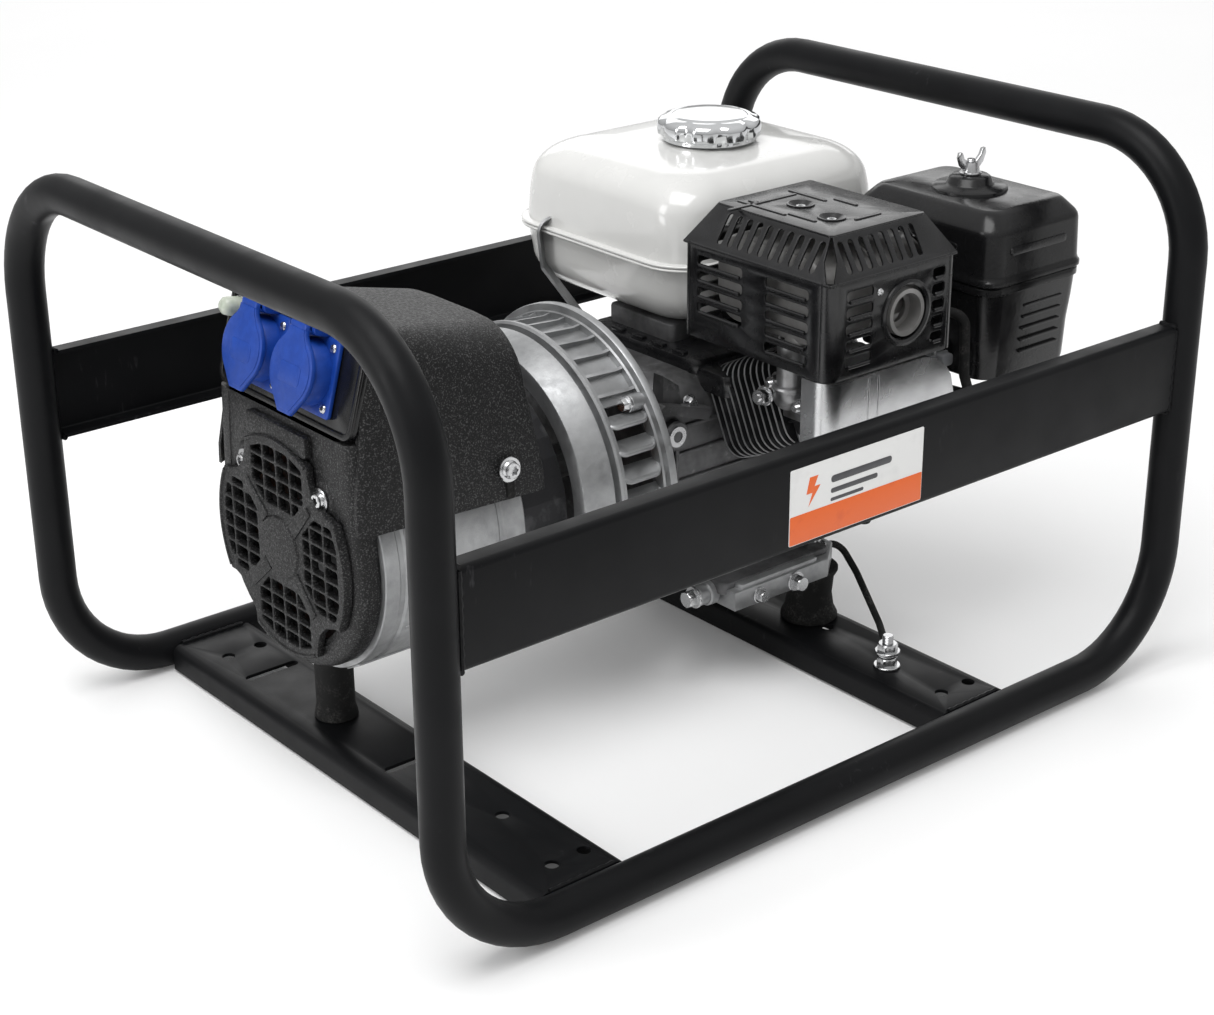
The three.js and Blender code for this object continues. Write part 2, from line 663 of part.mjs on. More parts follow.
// Perforated sheet guard: louvre columns in its walls and upright slots in its sloping shoulders.
function addMufflerGuard() {
  const wall = 1.8;
  const [x0, x1] = GUARD_X;
  const [y0, y1] = GUARD_Y;
  const tools = [guardBody(wall)];
  const rows = 5;
  for (let row = 0; row < rows; row++) {
    const z = [262 + row * 11, 268 + row * 11];
    for (const y of [[y0 + 18, y0 + 62], [y0 + 74, y0 + 118]]) tools.push(box([x0 - 2, x0 + 4], y, z));
    for (const x of [[x0 + 16, x0 + 42], [x0 + 94, x0 + 112]]) tools.push(box(x, [y0 - 2, y0 + 4], z));
  }
  const slotZ = [GUARD_SHOULDER + 3, GUARD_Z[1] - 5];
  for (let i = 0; i < 10; i++) {
    const y = y0 + 28 + i * 10;
    tools.push(box([x0 - 2, x0 + GUARD_INSET - 2], [y, y + 5], slotZ));
  }
  for (let i = 0; i < 8; i++) {
    const x = x0 + 26 + i * 10;
    tools.push(box([x, x + 5], [y0 - 2, y0 + GUARD_INSET - 2], slotZ));
  }
  tools.push(rodY(18.5, OUTLET[0], [y0 - 2, y0 + 4], OUTLET[1], 20));
  part('muffler_guard', cut(guardBody(0), ...tools), 'gloss_black');
}

// Bright deflector sheet below the guard, wrapped round the cylinder head.
function addHeadCowl() {
  const sheet = 1.6;
  const [low, high] = [198, GUARD_Z[0] - 3];
  const [x0, x1] = [50, 172];
  const face = [[low, x0], [high, x0], ...arc(high - 34, x1 - 34, 34, 0, 90, 5), [low, x1]];
  const wall = extrude(face, [-152, -152 + sheet], ALONG_Y);
  const side = box([x0, x0 + sheet], [-152, -128], [low, high]);
  part('head_cowl', join(wall, side), 'zinc');
}

// ---------------------------------------------------------------- intake side
function addIntake() {
  const y = -102;
  const neck = rodX(8, [CYLINDER_X + 30 + GAP, 152], y, 224, 14);
  const body = box([150, 190], [y - 16, y + 16], [204, 238]);
  const bowl = rodZ(14, 170, y, [180, 205], 16);
  const elbow = box([189, CLEANER_X[0] - GAP], [y - 12, y + 12], [218, 238]);
  part('carburettor', join(neck, body, bowl, elbow), 'cast');
  const leverY = [y - 20, y - 16 - GAP];
  for (const [name, z] of [['choke_lever', 231], ['fuel_valve_lever', 212]]) {
    const arm = join(rodY(6, 158, leverY, z, 12), box([158, 196], leverY, [z - 3, z + 3]));
    const tip = box([186, 198], [leverY[0] - 5, leverY[1]], [z - 4.5, z + 4.5]);
    part(name, join(arm, tip), 'grey_plastic');
  }
}

function rectRing(x, y, r, z) {
  return roundedBox(x, y, r, 3).map(([a, b]) => new THREE.Vector3(a, b, z));
}

const grow = ([a, b], by) => [a - by, b + by];

function addAirCleaner() {
  const wall = 3;
  const [cx, cy] = [(CLEANER_X[0] + CLEANER_X[1]) / 2, (CLEANER_Y[0] + CLEANER_Y[1]) / 2];
  const studR = 3;
  const tray = extrude(roundedBox(CLEANER_X, CLEANER_Y, 14), [CLEANER_LOW, CLEANER_RIM - GAP], ALONG_Z);
  const inside = [grow(CLEANER_X, -wall), grow(CLEANER_Y, -wall)];
  const trayHollow = extrude(roundedBox(...inside, 11), [CLEANER_LOW + wall, CLEANER_RIM + 1], ALONG_Z);
  const stud = rodZ(studR, cx, cy, [CLEANER_LOW + 1, 354], 10);
  const inlet = box([CLEANER_X[0] - 1, CLEANER_X[0] + 4], [-112, -92], [220, 236]);
  part('air_cleaner_base', join(cut(tray, trayHollow, inlet), stud), 'gloss_black');
  const element = rodZ(34, cx, cy, [CLEANER_LOW + wall + GAP, 322], 24);
  part('filter_element', cut(element, rodZ(24, cx, cy, [200, 330], 24)), 'foam');
  const skin = (inset) => {
    const x = grow(CLEANER_X, 1 - inset);
    const y = grow(CLEANER_Y, 1 - inset);
    return loft([
      rectRing(x, y, 15 - inset, CLEANER_RIM - (inset ? 1 : 0)),
      rectRing(grow(x, -1), grow(y, -1), 14 - inset, CLEANER_TOP - 10 - inset),
      rectRing(grow(x, -9), grow(y, -9), 9 - inset / 2, CLEANER_TOP - inset),
    ]);
  };
  const dome = rodZ(23, cx, cy, [CLEANER_TOP - 4, CLEANER_TOP + 10], 24);
  const shell = cut(join(skin(0), dome), skin(wall), rodZ(studR + 0.6, cx, cy, [300, 360], 10));
  part('air_cleaner_cover', shell, 'gloss_black');
  const hub = rodZ(6.5, cx, cy, [CLEANER_TOP + 10 + GAP, 352], 12);
  const wings = box([cx - 14, cx + 14], [cy - 1.5, cy + 1.5], [346, 360]);
  const nut = cut(join(hub, wings), rodZ(studR + 0.5, cx, cy, [330, 365], 10));
  part('wing_nut', nut, 'zinc');
}

// ---------------------------------------------------------------- fuel tank
// Two pressed halves that meet at a seam flange.
function addTank() {
  const wall = 3;
  const lip = 5;
  const flange = (z) => extrude(roundedBox(grow(TANK_X, lip), grow(TANK_Y, lip), 32, 4), z, ALONG_Z);
  const upper = (inset) => loft([
    rectRing(grow(TANK_X, -inset), grow(TANK_Y, -inset), 28, TANK_SEAM + (inset ? -1 : GAP / 2)),
    rectRing(grow(TANK_X, -3 - inset), grow(TANK_Y, -3 - inset), 28, TANK_TOP - 22 - inset),
    rectRing(grow(TANK_X, -10 - inset), grow(TANK_Y, -10 - inset), 26, TANK_TOP - 8 - inset),
    rectRing(grow(TANK_X, -26 - inset), grow(TANK_Y, -26 - inset), 22, TANK_TOP - 1 - inset),
    rectRing(grow(TANK_X, -60 - inset), grow(TANK_Y, -60 - inset), 12, TANK_TOP - inset),
  ]);
  const neck = rodZ(24, ...CAP_XY, [TANK_TOP - 4, TANK_TOP + 5], 24);
  const filler = rodZ(20, ...CAP_XY, [TANK_TOP - 20, TANK_TOP + 8], 24);
  const top = join(upper(0), neck, flange([TANK_SEAM + GAP / 2, TANK_SEAM + 2.5]));
  part('fuel_tank_upper', cut(top, upper(wall), filler), 'tank');
  const lower = (inset) => loft([
    rectRing(grow(TANK_X, -26 - inset), grow(TANK_Y, -26 - inset), 24, TANK_LOW + inset),
    rectRing(grow(TANK_X, -10 - inset), grow(TANK_Y, -10 - inset), 28, TANK_LOW + 8 + inset),
    rectRing(grow(TANK_X, -inset), grow(TANK_Y, -inset), 28, TANK_SEAM + (inset ? 1 : -GAP / 2)),
  ]);
  const bottom = join(lower(0), flange([TANK_SEAM - 2.5, TANK_SEAM - GAP / 2]));
  part('fuel_tank_lower', cut(bottom, lower(wall)), 'tank');
  addFuelCap();
}

// Fluted cap: eight lobes, open underneath over the filler neck.
function addFuelCap() {
  const lobes = [];
  for (let i = 0; i < 32; i++) {
    const a = (i / 32) * 2 * Math.PI;
    const r = 36.5 + 1.5 * Math.cos(8 * a);
    lobes.push([CAP_XY[0] + r * Math.cos(a), CAP_XY[1] + r * Math.sin(a)]);
  }
  const seat = TANK_TOP + GAP + 0.2;
  const body = join(
    extrude(lobes, [seat + 2, seat + 16], ALONG_Z),
    rodZ(30, ...CAP_XY, [seat + 15, seat + 19], 24),
    rodZ(34, ...CAP_XY, [seat, seat + 3], 24),
  );
  part('fuel_cap', cut(body, rodZ(25, ...CAP_XY, [seat - 1, seat + 10], 24)), 'chrome');
}

// ---------------------------------------------------------------- fan shroud and recoil starter
function addStarter() {
  const wall = 3;
  const drum = axial(SHROUD_R, SHROUD_X, 32);
  const drumInside = axial(SHROUD_R - wall, [145, SHROUD_X[1] - wall], 32);
  part('fan_shroud', cut(drum, drumInside, axial(60, [190, 210], 28)), 'gloss_black');
  const x0 = SHROUD_X[1] + GAP;
  const inside = axial(RECOIL_R - wall, [x0 - 1, RECOIL_END - wall], 32);
  const cup = cut(axial(RECOIL_R, [x0, RECOIL_END], 32), inside);
  const post = axial(5, [x0 + 3, RECOIL_END - 1], 12);
  const ropeX = 213;
  const ropeZ = AXIS_Z - PULLEY_R - 2;
  const guide = rodY(8, ropeX, [-20, 16], ropeZ, 12);
  const tools = [rodY(5, ropeX, [-40, AXIS_Y], ropeZ, 10)];
  for (let i = 0; i < 8; i++) {
    const vent = new THREE.BoxGeometry(8, 26, 7);
    vent.translate(RECOIL_END, 42, 0);
    vent.rotateX(((i + 0.5) / 8) * 2 * Math.PI);
    vent.translate(0, AXIS_Y, AXIS_Z);
    tools.push(solid(vent));
  }
  part('recoil_cover', cut(join(cup, cut(guide, inside), post), ...tools), 'gloss_black');
  const wheel = cut(axial(PULLEY_R, [206, 220], 28), axial(5.4, [200, 225], 12));
  const [bottom, past] = [PULLEY_R - 5, PULLEY_R + 4];
  const groove = turned([[210, bottom], [210, past], [216, past], [216, bottom]], 28);
  part('recoil_pulley', cut(wheel, groove), 'steel');
  const grip = join(
    rodZ(7.5, ropeX, -34, [ropeZ - 28, ropeZ + 28], 14),
    rodY(4.5, ropeX, [-30, -20 - GAP], ropeZ, 10),
  );
  part('starter_grip', grip, 'rubber');
}

// ---------------------------------------------------------------- mounts, controls and earth lead
function addMounts() {
  const z = BRACKET_Z;
  const corners = [[49, 70], [140, 70], [164, 50], [164, 25], [49, 25]];
  const plan = (side) => corners.map(([x, y]) => [x, side * y]);
  const far = 2 * AXIS_Y;
  const front = extrude(plan(-1), z, ALONG_Z);
  const rear = extrude(plan(1).map(([x, y]) => [x, y + far]), z, ALONG_Z);
  part('engine_bracket_front', join(front, rodX(7, [32, 50], -47, 71, 12)), 'cast');
  part('engine_bracket_rear', join(rear, rodX(7, [32, 50], far + 47, 71, 12)), 'cast');
  const rubber = [PLATE_TOP + GAP, z[0] - GAP];
  part('rubber_mount_front', rodZ(21, MOUNT_X, -45, rubber, 20), 'rubber');
  part('rubber_mount_rear', rodZ(21, MOUNT_X, far + 45, rubber, 20), 'rubber');
  const footTop = AXIS_Z - DRUM_R - 0.6;
  part('rubber_foot', rodZ(15, -205, 52, [PLATE_TOP + GAP, footTop], 20), 'rubber');
}

function addControls() {
  const wall = CASE_Y[0] - GAP;
  part('engine_switch_box', box([108, 140], [wall - 14, wall], [98, 128]), 'gloss_black');
  const dial = rodY(9, 124, [wall - 22, wall - 14 - GAP], 113, 14);
  const knob = join(dial, box([121, 127], [wall - 26, wall - 15], [105, 121]));
  part('engine_switch_knob', knob, 'grey_plastic');
  const plug = rodY(11, 52, [wall - 14, wall], 112, 14);
  const cap = join(plug, box([49, 55], [wall - 22, wall - 10], [101, 123]));
  part('oil_filler_cap', cap, 'grey_plastic');
}

function addEarthLead() {
  const [x, y] = EARTH_STUD;
  const head = rodZ(8, x, y, [PLATE_TOP + GAP, 28], 6);
  const nut = rodZ(8, x, y, [33, 38], 6);
  part('earth_stud', join(head, rodZ(4, x, y, [27, 44], 10), nut), 'zinc');
  const cable = [
    [166, -45, 71],
    [176, -45, 71],
    [178, -62, 52],
    [160, -104, 31],
    [x + 8, y + 9, 30.5],
  ];
  part('earth_cable', bentBar(cable, 2.5, 6, 8, 3), 'rubber');
}

addFrame();
addSideBars();
addCrossPlates();
addEndCover();
addEndGrille();
addHood();
addAlternatorCore();
addBellHousing();
addSocketPanel();
addCrankcase();
addCylinder();
addCrankTrain();
addExhaust();
addMufflerGuard();
addHeadCowl();
addIntake();
addAirCleaner();
addTank();
addStarter();
addMounts();
addControls();
addEarthLead();

export default generator;
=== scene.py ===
import json
import math
import random

import bmesh
import bpy
from mathutils import Matrix, Vector
from mathutils.geometry import delaunay_2d_cdt


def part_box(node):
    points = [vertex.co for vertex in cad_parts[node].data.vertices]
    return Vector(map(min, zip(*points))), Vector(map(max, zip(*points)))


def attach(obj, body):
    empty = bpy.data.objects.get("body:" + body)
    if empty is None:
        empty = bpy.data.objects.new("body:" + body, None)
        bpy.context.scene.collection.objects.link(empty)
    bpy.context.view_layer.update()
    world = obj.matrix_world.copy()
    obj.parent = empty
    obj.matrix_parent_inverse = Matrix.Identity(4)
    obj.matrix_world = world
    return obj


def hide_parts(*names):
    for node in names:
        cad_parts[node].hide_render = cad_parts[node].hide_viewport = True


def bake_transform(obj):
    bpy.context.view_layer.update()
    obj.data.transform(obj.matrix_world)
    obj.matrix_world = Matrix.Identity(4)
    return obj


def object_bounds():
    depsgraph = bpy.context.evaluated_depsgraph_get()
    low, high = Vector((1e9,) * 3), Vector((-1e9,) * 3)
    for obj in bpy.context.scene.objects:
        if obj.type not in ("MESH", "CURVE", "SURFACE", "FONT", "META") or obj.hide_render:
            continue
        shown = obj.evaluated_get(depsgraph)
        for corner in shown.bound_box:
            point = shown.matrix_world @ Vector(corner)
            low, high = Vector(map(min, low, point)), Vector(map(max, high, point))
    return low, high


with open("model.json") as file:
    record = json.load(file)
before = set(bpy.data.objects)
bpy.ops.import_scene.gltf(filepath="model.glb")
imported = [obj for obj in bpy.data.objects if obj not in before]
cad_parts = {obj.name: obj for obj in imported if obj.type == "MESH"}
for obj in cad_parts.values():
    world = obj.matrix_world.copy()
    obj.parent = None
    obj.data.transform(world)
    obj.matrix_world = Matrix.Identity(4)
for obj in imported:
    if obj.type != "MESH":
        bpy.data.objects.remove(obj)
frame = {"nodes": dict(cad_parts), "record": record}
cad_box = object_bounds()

# Lengths in this script are millimetres; a piece's mesh is scaled to metres when it is made.
MM = 0.001
X = Vector((1, 0, 0))
Y = Vector((0, 1, 0))
Z = Vector((0, 0, 1))
rng = random.Random(7)


# ---------------------------------------------------------------- places and outlines
def span(*nodes):
    """Lowest and highest corner of the named CAD nodes together, in millimetres."""
    boxes = [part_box(n) for n in nodes]
    low = Vector([min(b[0][i] for b in boxes) / MM for i in range(3)])
    high = Vector([max(b[1][i] for b in boxes) / MM for i in range(3)])
    return low, high


def spot(origin, out=Z, up=None):
    """A matrix at origin whose local Z points along out and whose local Y is near up."""
    z = Vector(out).normalized()
    up = Vector(up) if up else (Z if abs(z.z) < 0.9 else Y)
    x = up.cross(z).normalized()
    place = Matrix((x, z.cross(x), z)).transposed().to_4x4()
    place.translation = Vector(origin)
    return place


def move(x=0, y=0, z=0):
    return Matrix.Translation((x, y, z))


def facing_front(y):
    """Drawn in X and Z on the plane at y, with depth running towards -Y."""
    return Matrix(((1, 0, 0, 0), (0, 0, -1, y), (0, 1, 0, 0), (0, 0, 0, 1)))


def turned(degrees, axis="Z"):
    return Matrix.Rotation(math.radians(degrees), 4, axis)


def arc(cx, cy, r, start, end, steps):
    angles = [math.radians(start + (end - start) * i / steps) for i in range(steps + 1)]
    return [(cx + r * math.cos(a), cy + r * math.sin(a)) for a in angles]


def circle(cx, cy, r, sides=24):
    return arc(cx, cy, r, 0, 360 - 360 / sides, sides - 1)


def whole_turn(count):
    return [2 * math.pi * i / count for i in range(count)]


def rounded(x, y, r, steps=4):
    """A rectangle with round corners, counter-clockwise."""
    return [
        *arc(x[1] - r, y[1] - r, r, 0, 90, steps),
        *arc(x[0] + r, y[1] - r, r, 90, 180, steps),
        *arc(x[0] + r, y[0] + r, r, 180, 270, steps),
        *arc(x[1] - r, y[0] + r, r, 270, 360, steps),
    ]


def around(cx, cy, width, height, r, steps=4):
    return rounded((cx - width / 2, cx + width / 2), (cy - height / 2, cy + height / 2), r, steps)


def grown(points, by):
    """Moves a counter-clockwise outline outwards, or a clockwise one inwards."""
    points = [Vector(p) for p in points]
    out = []
    for i, b in enumerate(points):
        before = (b - points[i - 1]).normalized()
        after = (points[(i + 1) % len(points)] - b).normalized()
        n1 = Vector((before.y, -before.x))
        n2 = Vector((after.y, -after.x))
        out.append(b + (n1 + n2) * (by / max(0.35, 1 + n1.dot(n2))))
    return out


def area(points):
    pairs = zip(points, points[1:] + points[:1])
    return sum(a[0] * b[1] - b[0] * a[1] for a, b in pairs) / 2


def clipped(points, edges):
    """Part of a convex outline on the inner side of every edge (normal, distance)."""
    for normal, limit in edges:
        kept = []
        for a, b in zip(points, points[1:] + points[:1]):
            da = a[0] * normal[0] + a[1] * normal[1] - limit
            db = b[0] * normal[0] + b[1] * normal[1] - limit
            if da <= 0:
                kept.append(a)
            if (da < 0 < db) or (db < 0 < da):
                t = da / (da - db)
                kept.append((a[0] + (b[0] - a[0]) * t, a[1] + (b[1] - a[1]) * t))
        points = kept
        if len(points) < 3:
            return []
    return points


def softened(points, r):
    """The same convex outline with its corners cut back a little."""
    out = []
    for i, b in enumerate(points):
        a, c = points[i - 1], points[(i + 1) % len(points)]
        for end in (a, c):
            d = Vector((end[0] - b[0], end[1] - b[1]))
            step = min(r, d.length * 0.4) / max(d.length, 1e-6)
            out.append((b[0] + d.x * step, b[1] + d.y * step))
    return out


def bent(corners, r, steps=8, closed=False):
    """A path of straight runs with a round bend of radius r at each corner."""
    corners = [Vector(c) for c in corners]
    count = len(corners)
    radii = r if isinstance(r, (list, tuple)) else [r] * count
    path = []
    for i, corner in enumerate(corners):
        if not closed and i in (0, count - 1):
            path.append(corner)
            continue
        before = (corner - corners[i - 1]).normalized()
        after = (corners[(i + 1) % count] - corner).normalized()
        turn = before.angle(after)
        if turn < 1e-3:
            path.append(corner)
            continue
        side = (after - before * math.cos(turn)).normalized()
        start = corner - before * radii[i] * math.tan(turn / 2)
        for k in range(steps + 1):
            a = turn * k / steps
            path.append(start + before * radii[i] * math.sin(a) + side * radii[i] * (1 - math.cos(a)))
    return path


def transported(path, closed):
    """A point, a normal and a binormal at each point of a path, without twist."""
    count = len(path)
    tangents = []
    for i in range(count):
        ahead = path[(i + 1) % count] if closed or i + 1 < count else path[i]
        behind = path[i - 1] if closed or i else path[i]
        tangents.append((ahead - behind).normalized())
    normal = tangents[0].orthogonal().normalized()
    normals = [normal]
    for i in range(1, count):
        normal = tangents[i - 1].rotation_difference(tangents[i]) @ normals[-1]
        normals.append((normal - tangents[i] * normal.dot(tangents[i])).normalized())
    twist = 0.0
    if closed:
        last = tangents[-1].rotation_difference(tangents[0]) @ normals[-1]
        twist = math.atan2(last.cross(normals[0]).dot(tangents[0]), last.dot(normals[0]))
    out = []
    for i in range(count):
        n = Matrix.Rotation(twist * i / count, 3, tangents[i]) @ normals[i]
        out.append((path[i], n, tangents[i].cross(n)))
    return out


# ---------------------------------------------------------------- mesh code
class Shape:
    """Collects the faces of one piece, in millimetres."""

    def __init__(self):
        self.verts, self.faces = [], []

    def add(self, verts, faces, place=None):
        base = len(self.verts)
        if callable(place):
            verts = [place(Vector(v)) for v in verts]
        elif place is not None:
            verts = [place @ Vector(v) for v in verts]
        self.verts += [Vector(v) for v in verts]
        self.faces += [[base + i for i in face] for face in faces]
        return self

    def loft(self, rings, place=None, closed=False):
        """A skin through rings of equal length, capped unless it closes on itself."""
        n, count = len(rings[0]), len(rings)
        faces = []
        for r in range(count if closed else count - 1):
            a, b = r * n, (r + 1) % count * n
            for i in range(n):
                j = (i + 1) % n
                faces.append((a + i, a + j, b + j, b + i))
        if not closed:
            faces += [list(range(n)), list(range((count - 1) * n, count * n))]
        return self.add([v for ring in rings for v in ring], faces, place)

    def turn(self, profile, sides=36, place=None):
        """A solid round local Z with flat ends, through (radius, height) points."""
        return self.loft([[(*p, z) for p in circle(0, 0, r, sides)] for r, z in profile], place)

    def hoop(self, profile, sides=56, place=None, start=0, end=360):
        """A closed (radius, height) profile swept round local Z."""
        full = end - start >= 360
        rings = []
        for k in range(sides if full else sides + 1):
            a = math.radians(start + (end - start) * k / sides)
            rings.append([(r * math.cos(a), r * math.sin(a), z) for r, z in profile])
        return self.loft(rings, place, closed=full)

    def sweep(self, path, section, closed=False, sides=14, place=None):
        """A round bar of radius section, or an outline, carried along a path."""
        outline = circle(0, 0, section, sides) if isinstance(section, (int, float)) else section
        rings = []
        for at, normal, side in transported([Vector(p) for p in path], closed):
            rings.append([at + normal * a + side * b for a, b in outline])
        return self.loft(rings, place, closed)

    def plate(self, outline, heights, holes=(), bevel=0.6, place=None):
        """A sheet with holes between two heights, its edges rounded over by bevel."""
        outline = list(outline) if area(list(outline)) > 0 else list(outline)[::-1]
        loops = [outline] + [list(h) if area(list(h)) < 0 else list(h)[::-1] for h in holes]
        z0, z1 = heights
        soft = 0.29 * bevel
        levels = [(bevel, z0), (soft, z0 + soft), (0, z0 + bevel)]
        levels += [(d, z1 + z0 - z) for d, z in levels[::-1]]
        verts, faces, flat, starts = [], [], [], []
        for loop in loops:
            n, base = len(loop), len(verts)
            for inset, z in levels:
                verts += [(p[0], p[1], z) for p in grown(loop, -inset)]
            for k in range(len(levels) - 1):
                for i in range(n):
                    j = (i + 1) % n
                    a, b = base + k * n, base + (k + 1) * n
                    faces.append((a + i, a + j, b + j, b + i))
            starts.append((base, n))
            flat += [Vector(p[:2]) for p in loop]
        rings, at = [], 0
        for _, n in starts:
            rings.append(list(range(at, at + n)))
            at += n
        rings = [rings[0]] + [r[::-1] for r in rings[1:]]
        _, _, triangles, sources, _, owners = delaunay_2d_cdt(flat, [], rings, 1, 1e-7)
        top = len(levels) - 1
        lookup = []
        for base, n in starts:
            lookup += [(base + i, base + top * n + i) for i in range(n)]
        for triangle, owner in zip(triangles, owners):
            if list(owner) == [0]:
                corners = [lookup[sources[v][0]] for v in triangle]
                faces += [[c[0] for c in corners], [c[1] for c in corners][::-1]]
        return self.add(verts, faces, place)

    def block(self, x, y, z, bevel=1.0, place=None, r=None):
        narrow = min(x[1] - x[0], y[1] - y[0])
        bevel = min(bevel, 0.4 * min(narrow, z[1] - z[0]))
        r = min(max(r or 0, 1.5 * bevel), 0.49 * narrow)
        return self.plate(rounded(x, y, r, 3), z, (), bevel, place)

    def rod(self, a, b, r, sides=24, bevel=0.5):
        a, b = Vector(a), Vector(b)
        length = (b - a).length
        profile = [(r - bevel, 0), (r, bevel), (r, length - bevel), (r - bevel, length)]
        return self.turn(profile, sides, spot(a, b - a))

    def hexagon(self, place, across, z0, z1, chamfer=0.8):
        """A bolt head or nut about local Z."""
        rings = []
        for z, limit in ((z0, 2), (z1 - chamfer, 2), (z1, 0.97)):
            ring = []
            for i in range(24):
                a = math.radians(15 * i)
                flat = 1 / math.cos(math.radians((15 * i + 30) % 60 - 30))
                r = across / 2 * min(flat, limit)
                ring.append((r * math.cos(a), r * math.sin(a), z))
            rings.append(ring)
        return self.loft(rings, place)

    def bolt(self, place, across=10, height=6, washer=0, stud=0):
        base = 0
        if washer:
            self.turn([(washer - 0.3, 0), (washer, 0.3), (washer, 1.3), (washer - 0.4, 1.7)], 28, place)
            base = 1.6
        self.hexagon(place, across, base, base + height)
        if stud:
            r = across * 0.29
            profile = [(r, base)]
            z = base + height
            while z < base + height + stud:
                profile += [(r, z), (r * 0.86, z + 0.5)]
                z += 1
            self.turn(profile, 16, place)
        return self

    def star_screw(self, place, r=5, height=4, washer=8):
        """A washer-head screw with a six-lobed socket."""
        self.turn([(washer - 0.4, 0), (washer, 0.4), (washer, 1.4), (washer - 0.5, 1.8)], 32, place)
        star = lambda k, z: [
            (
                k * (1 + 0.16 * math.cos(6 * a)) * math.cos(a),
                k * (1 + 0.16 * math.cos(6 * a)) * math.sin(a), z,
            )
            for a in whole_turn(36)
        ]
        plain = lambda k, z: [(*p, z) for p in circle(0, 0, k, 36)]
        top = 1.8 + height
        rings = [
            plain(r * 1.18, 1.7), plain(r * 1.1, 2.6), plain(r, 3.2), plain(r, top - 0.6),
            plain(r * 0.88, top),
        ]
        return self.loft([*rings, star(r * 0.56, top), star(r * 0.5, top - height * 0.6)], place)

    def cross_screw(self, place, r=3.4, height=1.8):
        """A pan-head screw with a cross recess."""
        profile = ((r, 0), (r, 0.5), (r * 0.8, height), (r * 0.5, height * 1.2))
        rings = [[(*p, z) for p in circle(0, 0, k, 24)] for k, z in profile]
        dip = []
        for i in range(24):
            a = 2 * math.pi * i / 24
            k = r * (0.16 if i % 6 else 0.46)
            dip.append((k * math.cos(a), k * math.sin(a), height * 0.4))
        lip = [(v[0] * 1.05, v[1] * 1.05, height * 1.2) for v in dip]
        return self.loft([*rings, lip, dip], place)


def piece(shape, name, slot, body="body", stands_for=(), smooth=35, finish=None):
    """Makes the Blender object, gives it its finish and fixes it to its body."""
    mesh = bpy.data.meshes.new(name)
    mesh.from_pydata([v * MM for v in shape.verts], [], shape.faces)
    bm = bmesh.new()
    bm.from_mesh(mesh)
    bmesh.ops.remove_doubles(bm, verts=bm.verts, dist=1e-6)
    bmesh.ops.recalc_face_normals(bm, faces=bm.faces)
    bm.to_mesh(mesh)
    bm.free()
    mesh.polygons.foreach_set("use_smooth", [True] * len(mesh.polygons))
    mesh.set_sharp_from_angle(angle=math.radians(smooth))
    mesh.materials.append(finish.material if finish else look(slot))
    thing = bpy.data.objects.new(name, mesh)
    bpy.context.scene.collection.objects.link(thing)
    if body:
        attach(thing, body)
    if stands_for:
        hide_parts(*stands_for)
    return thing


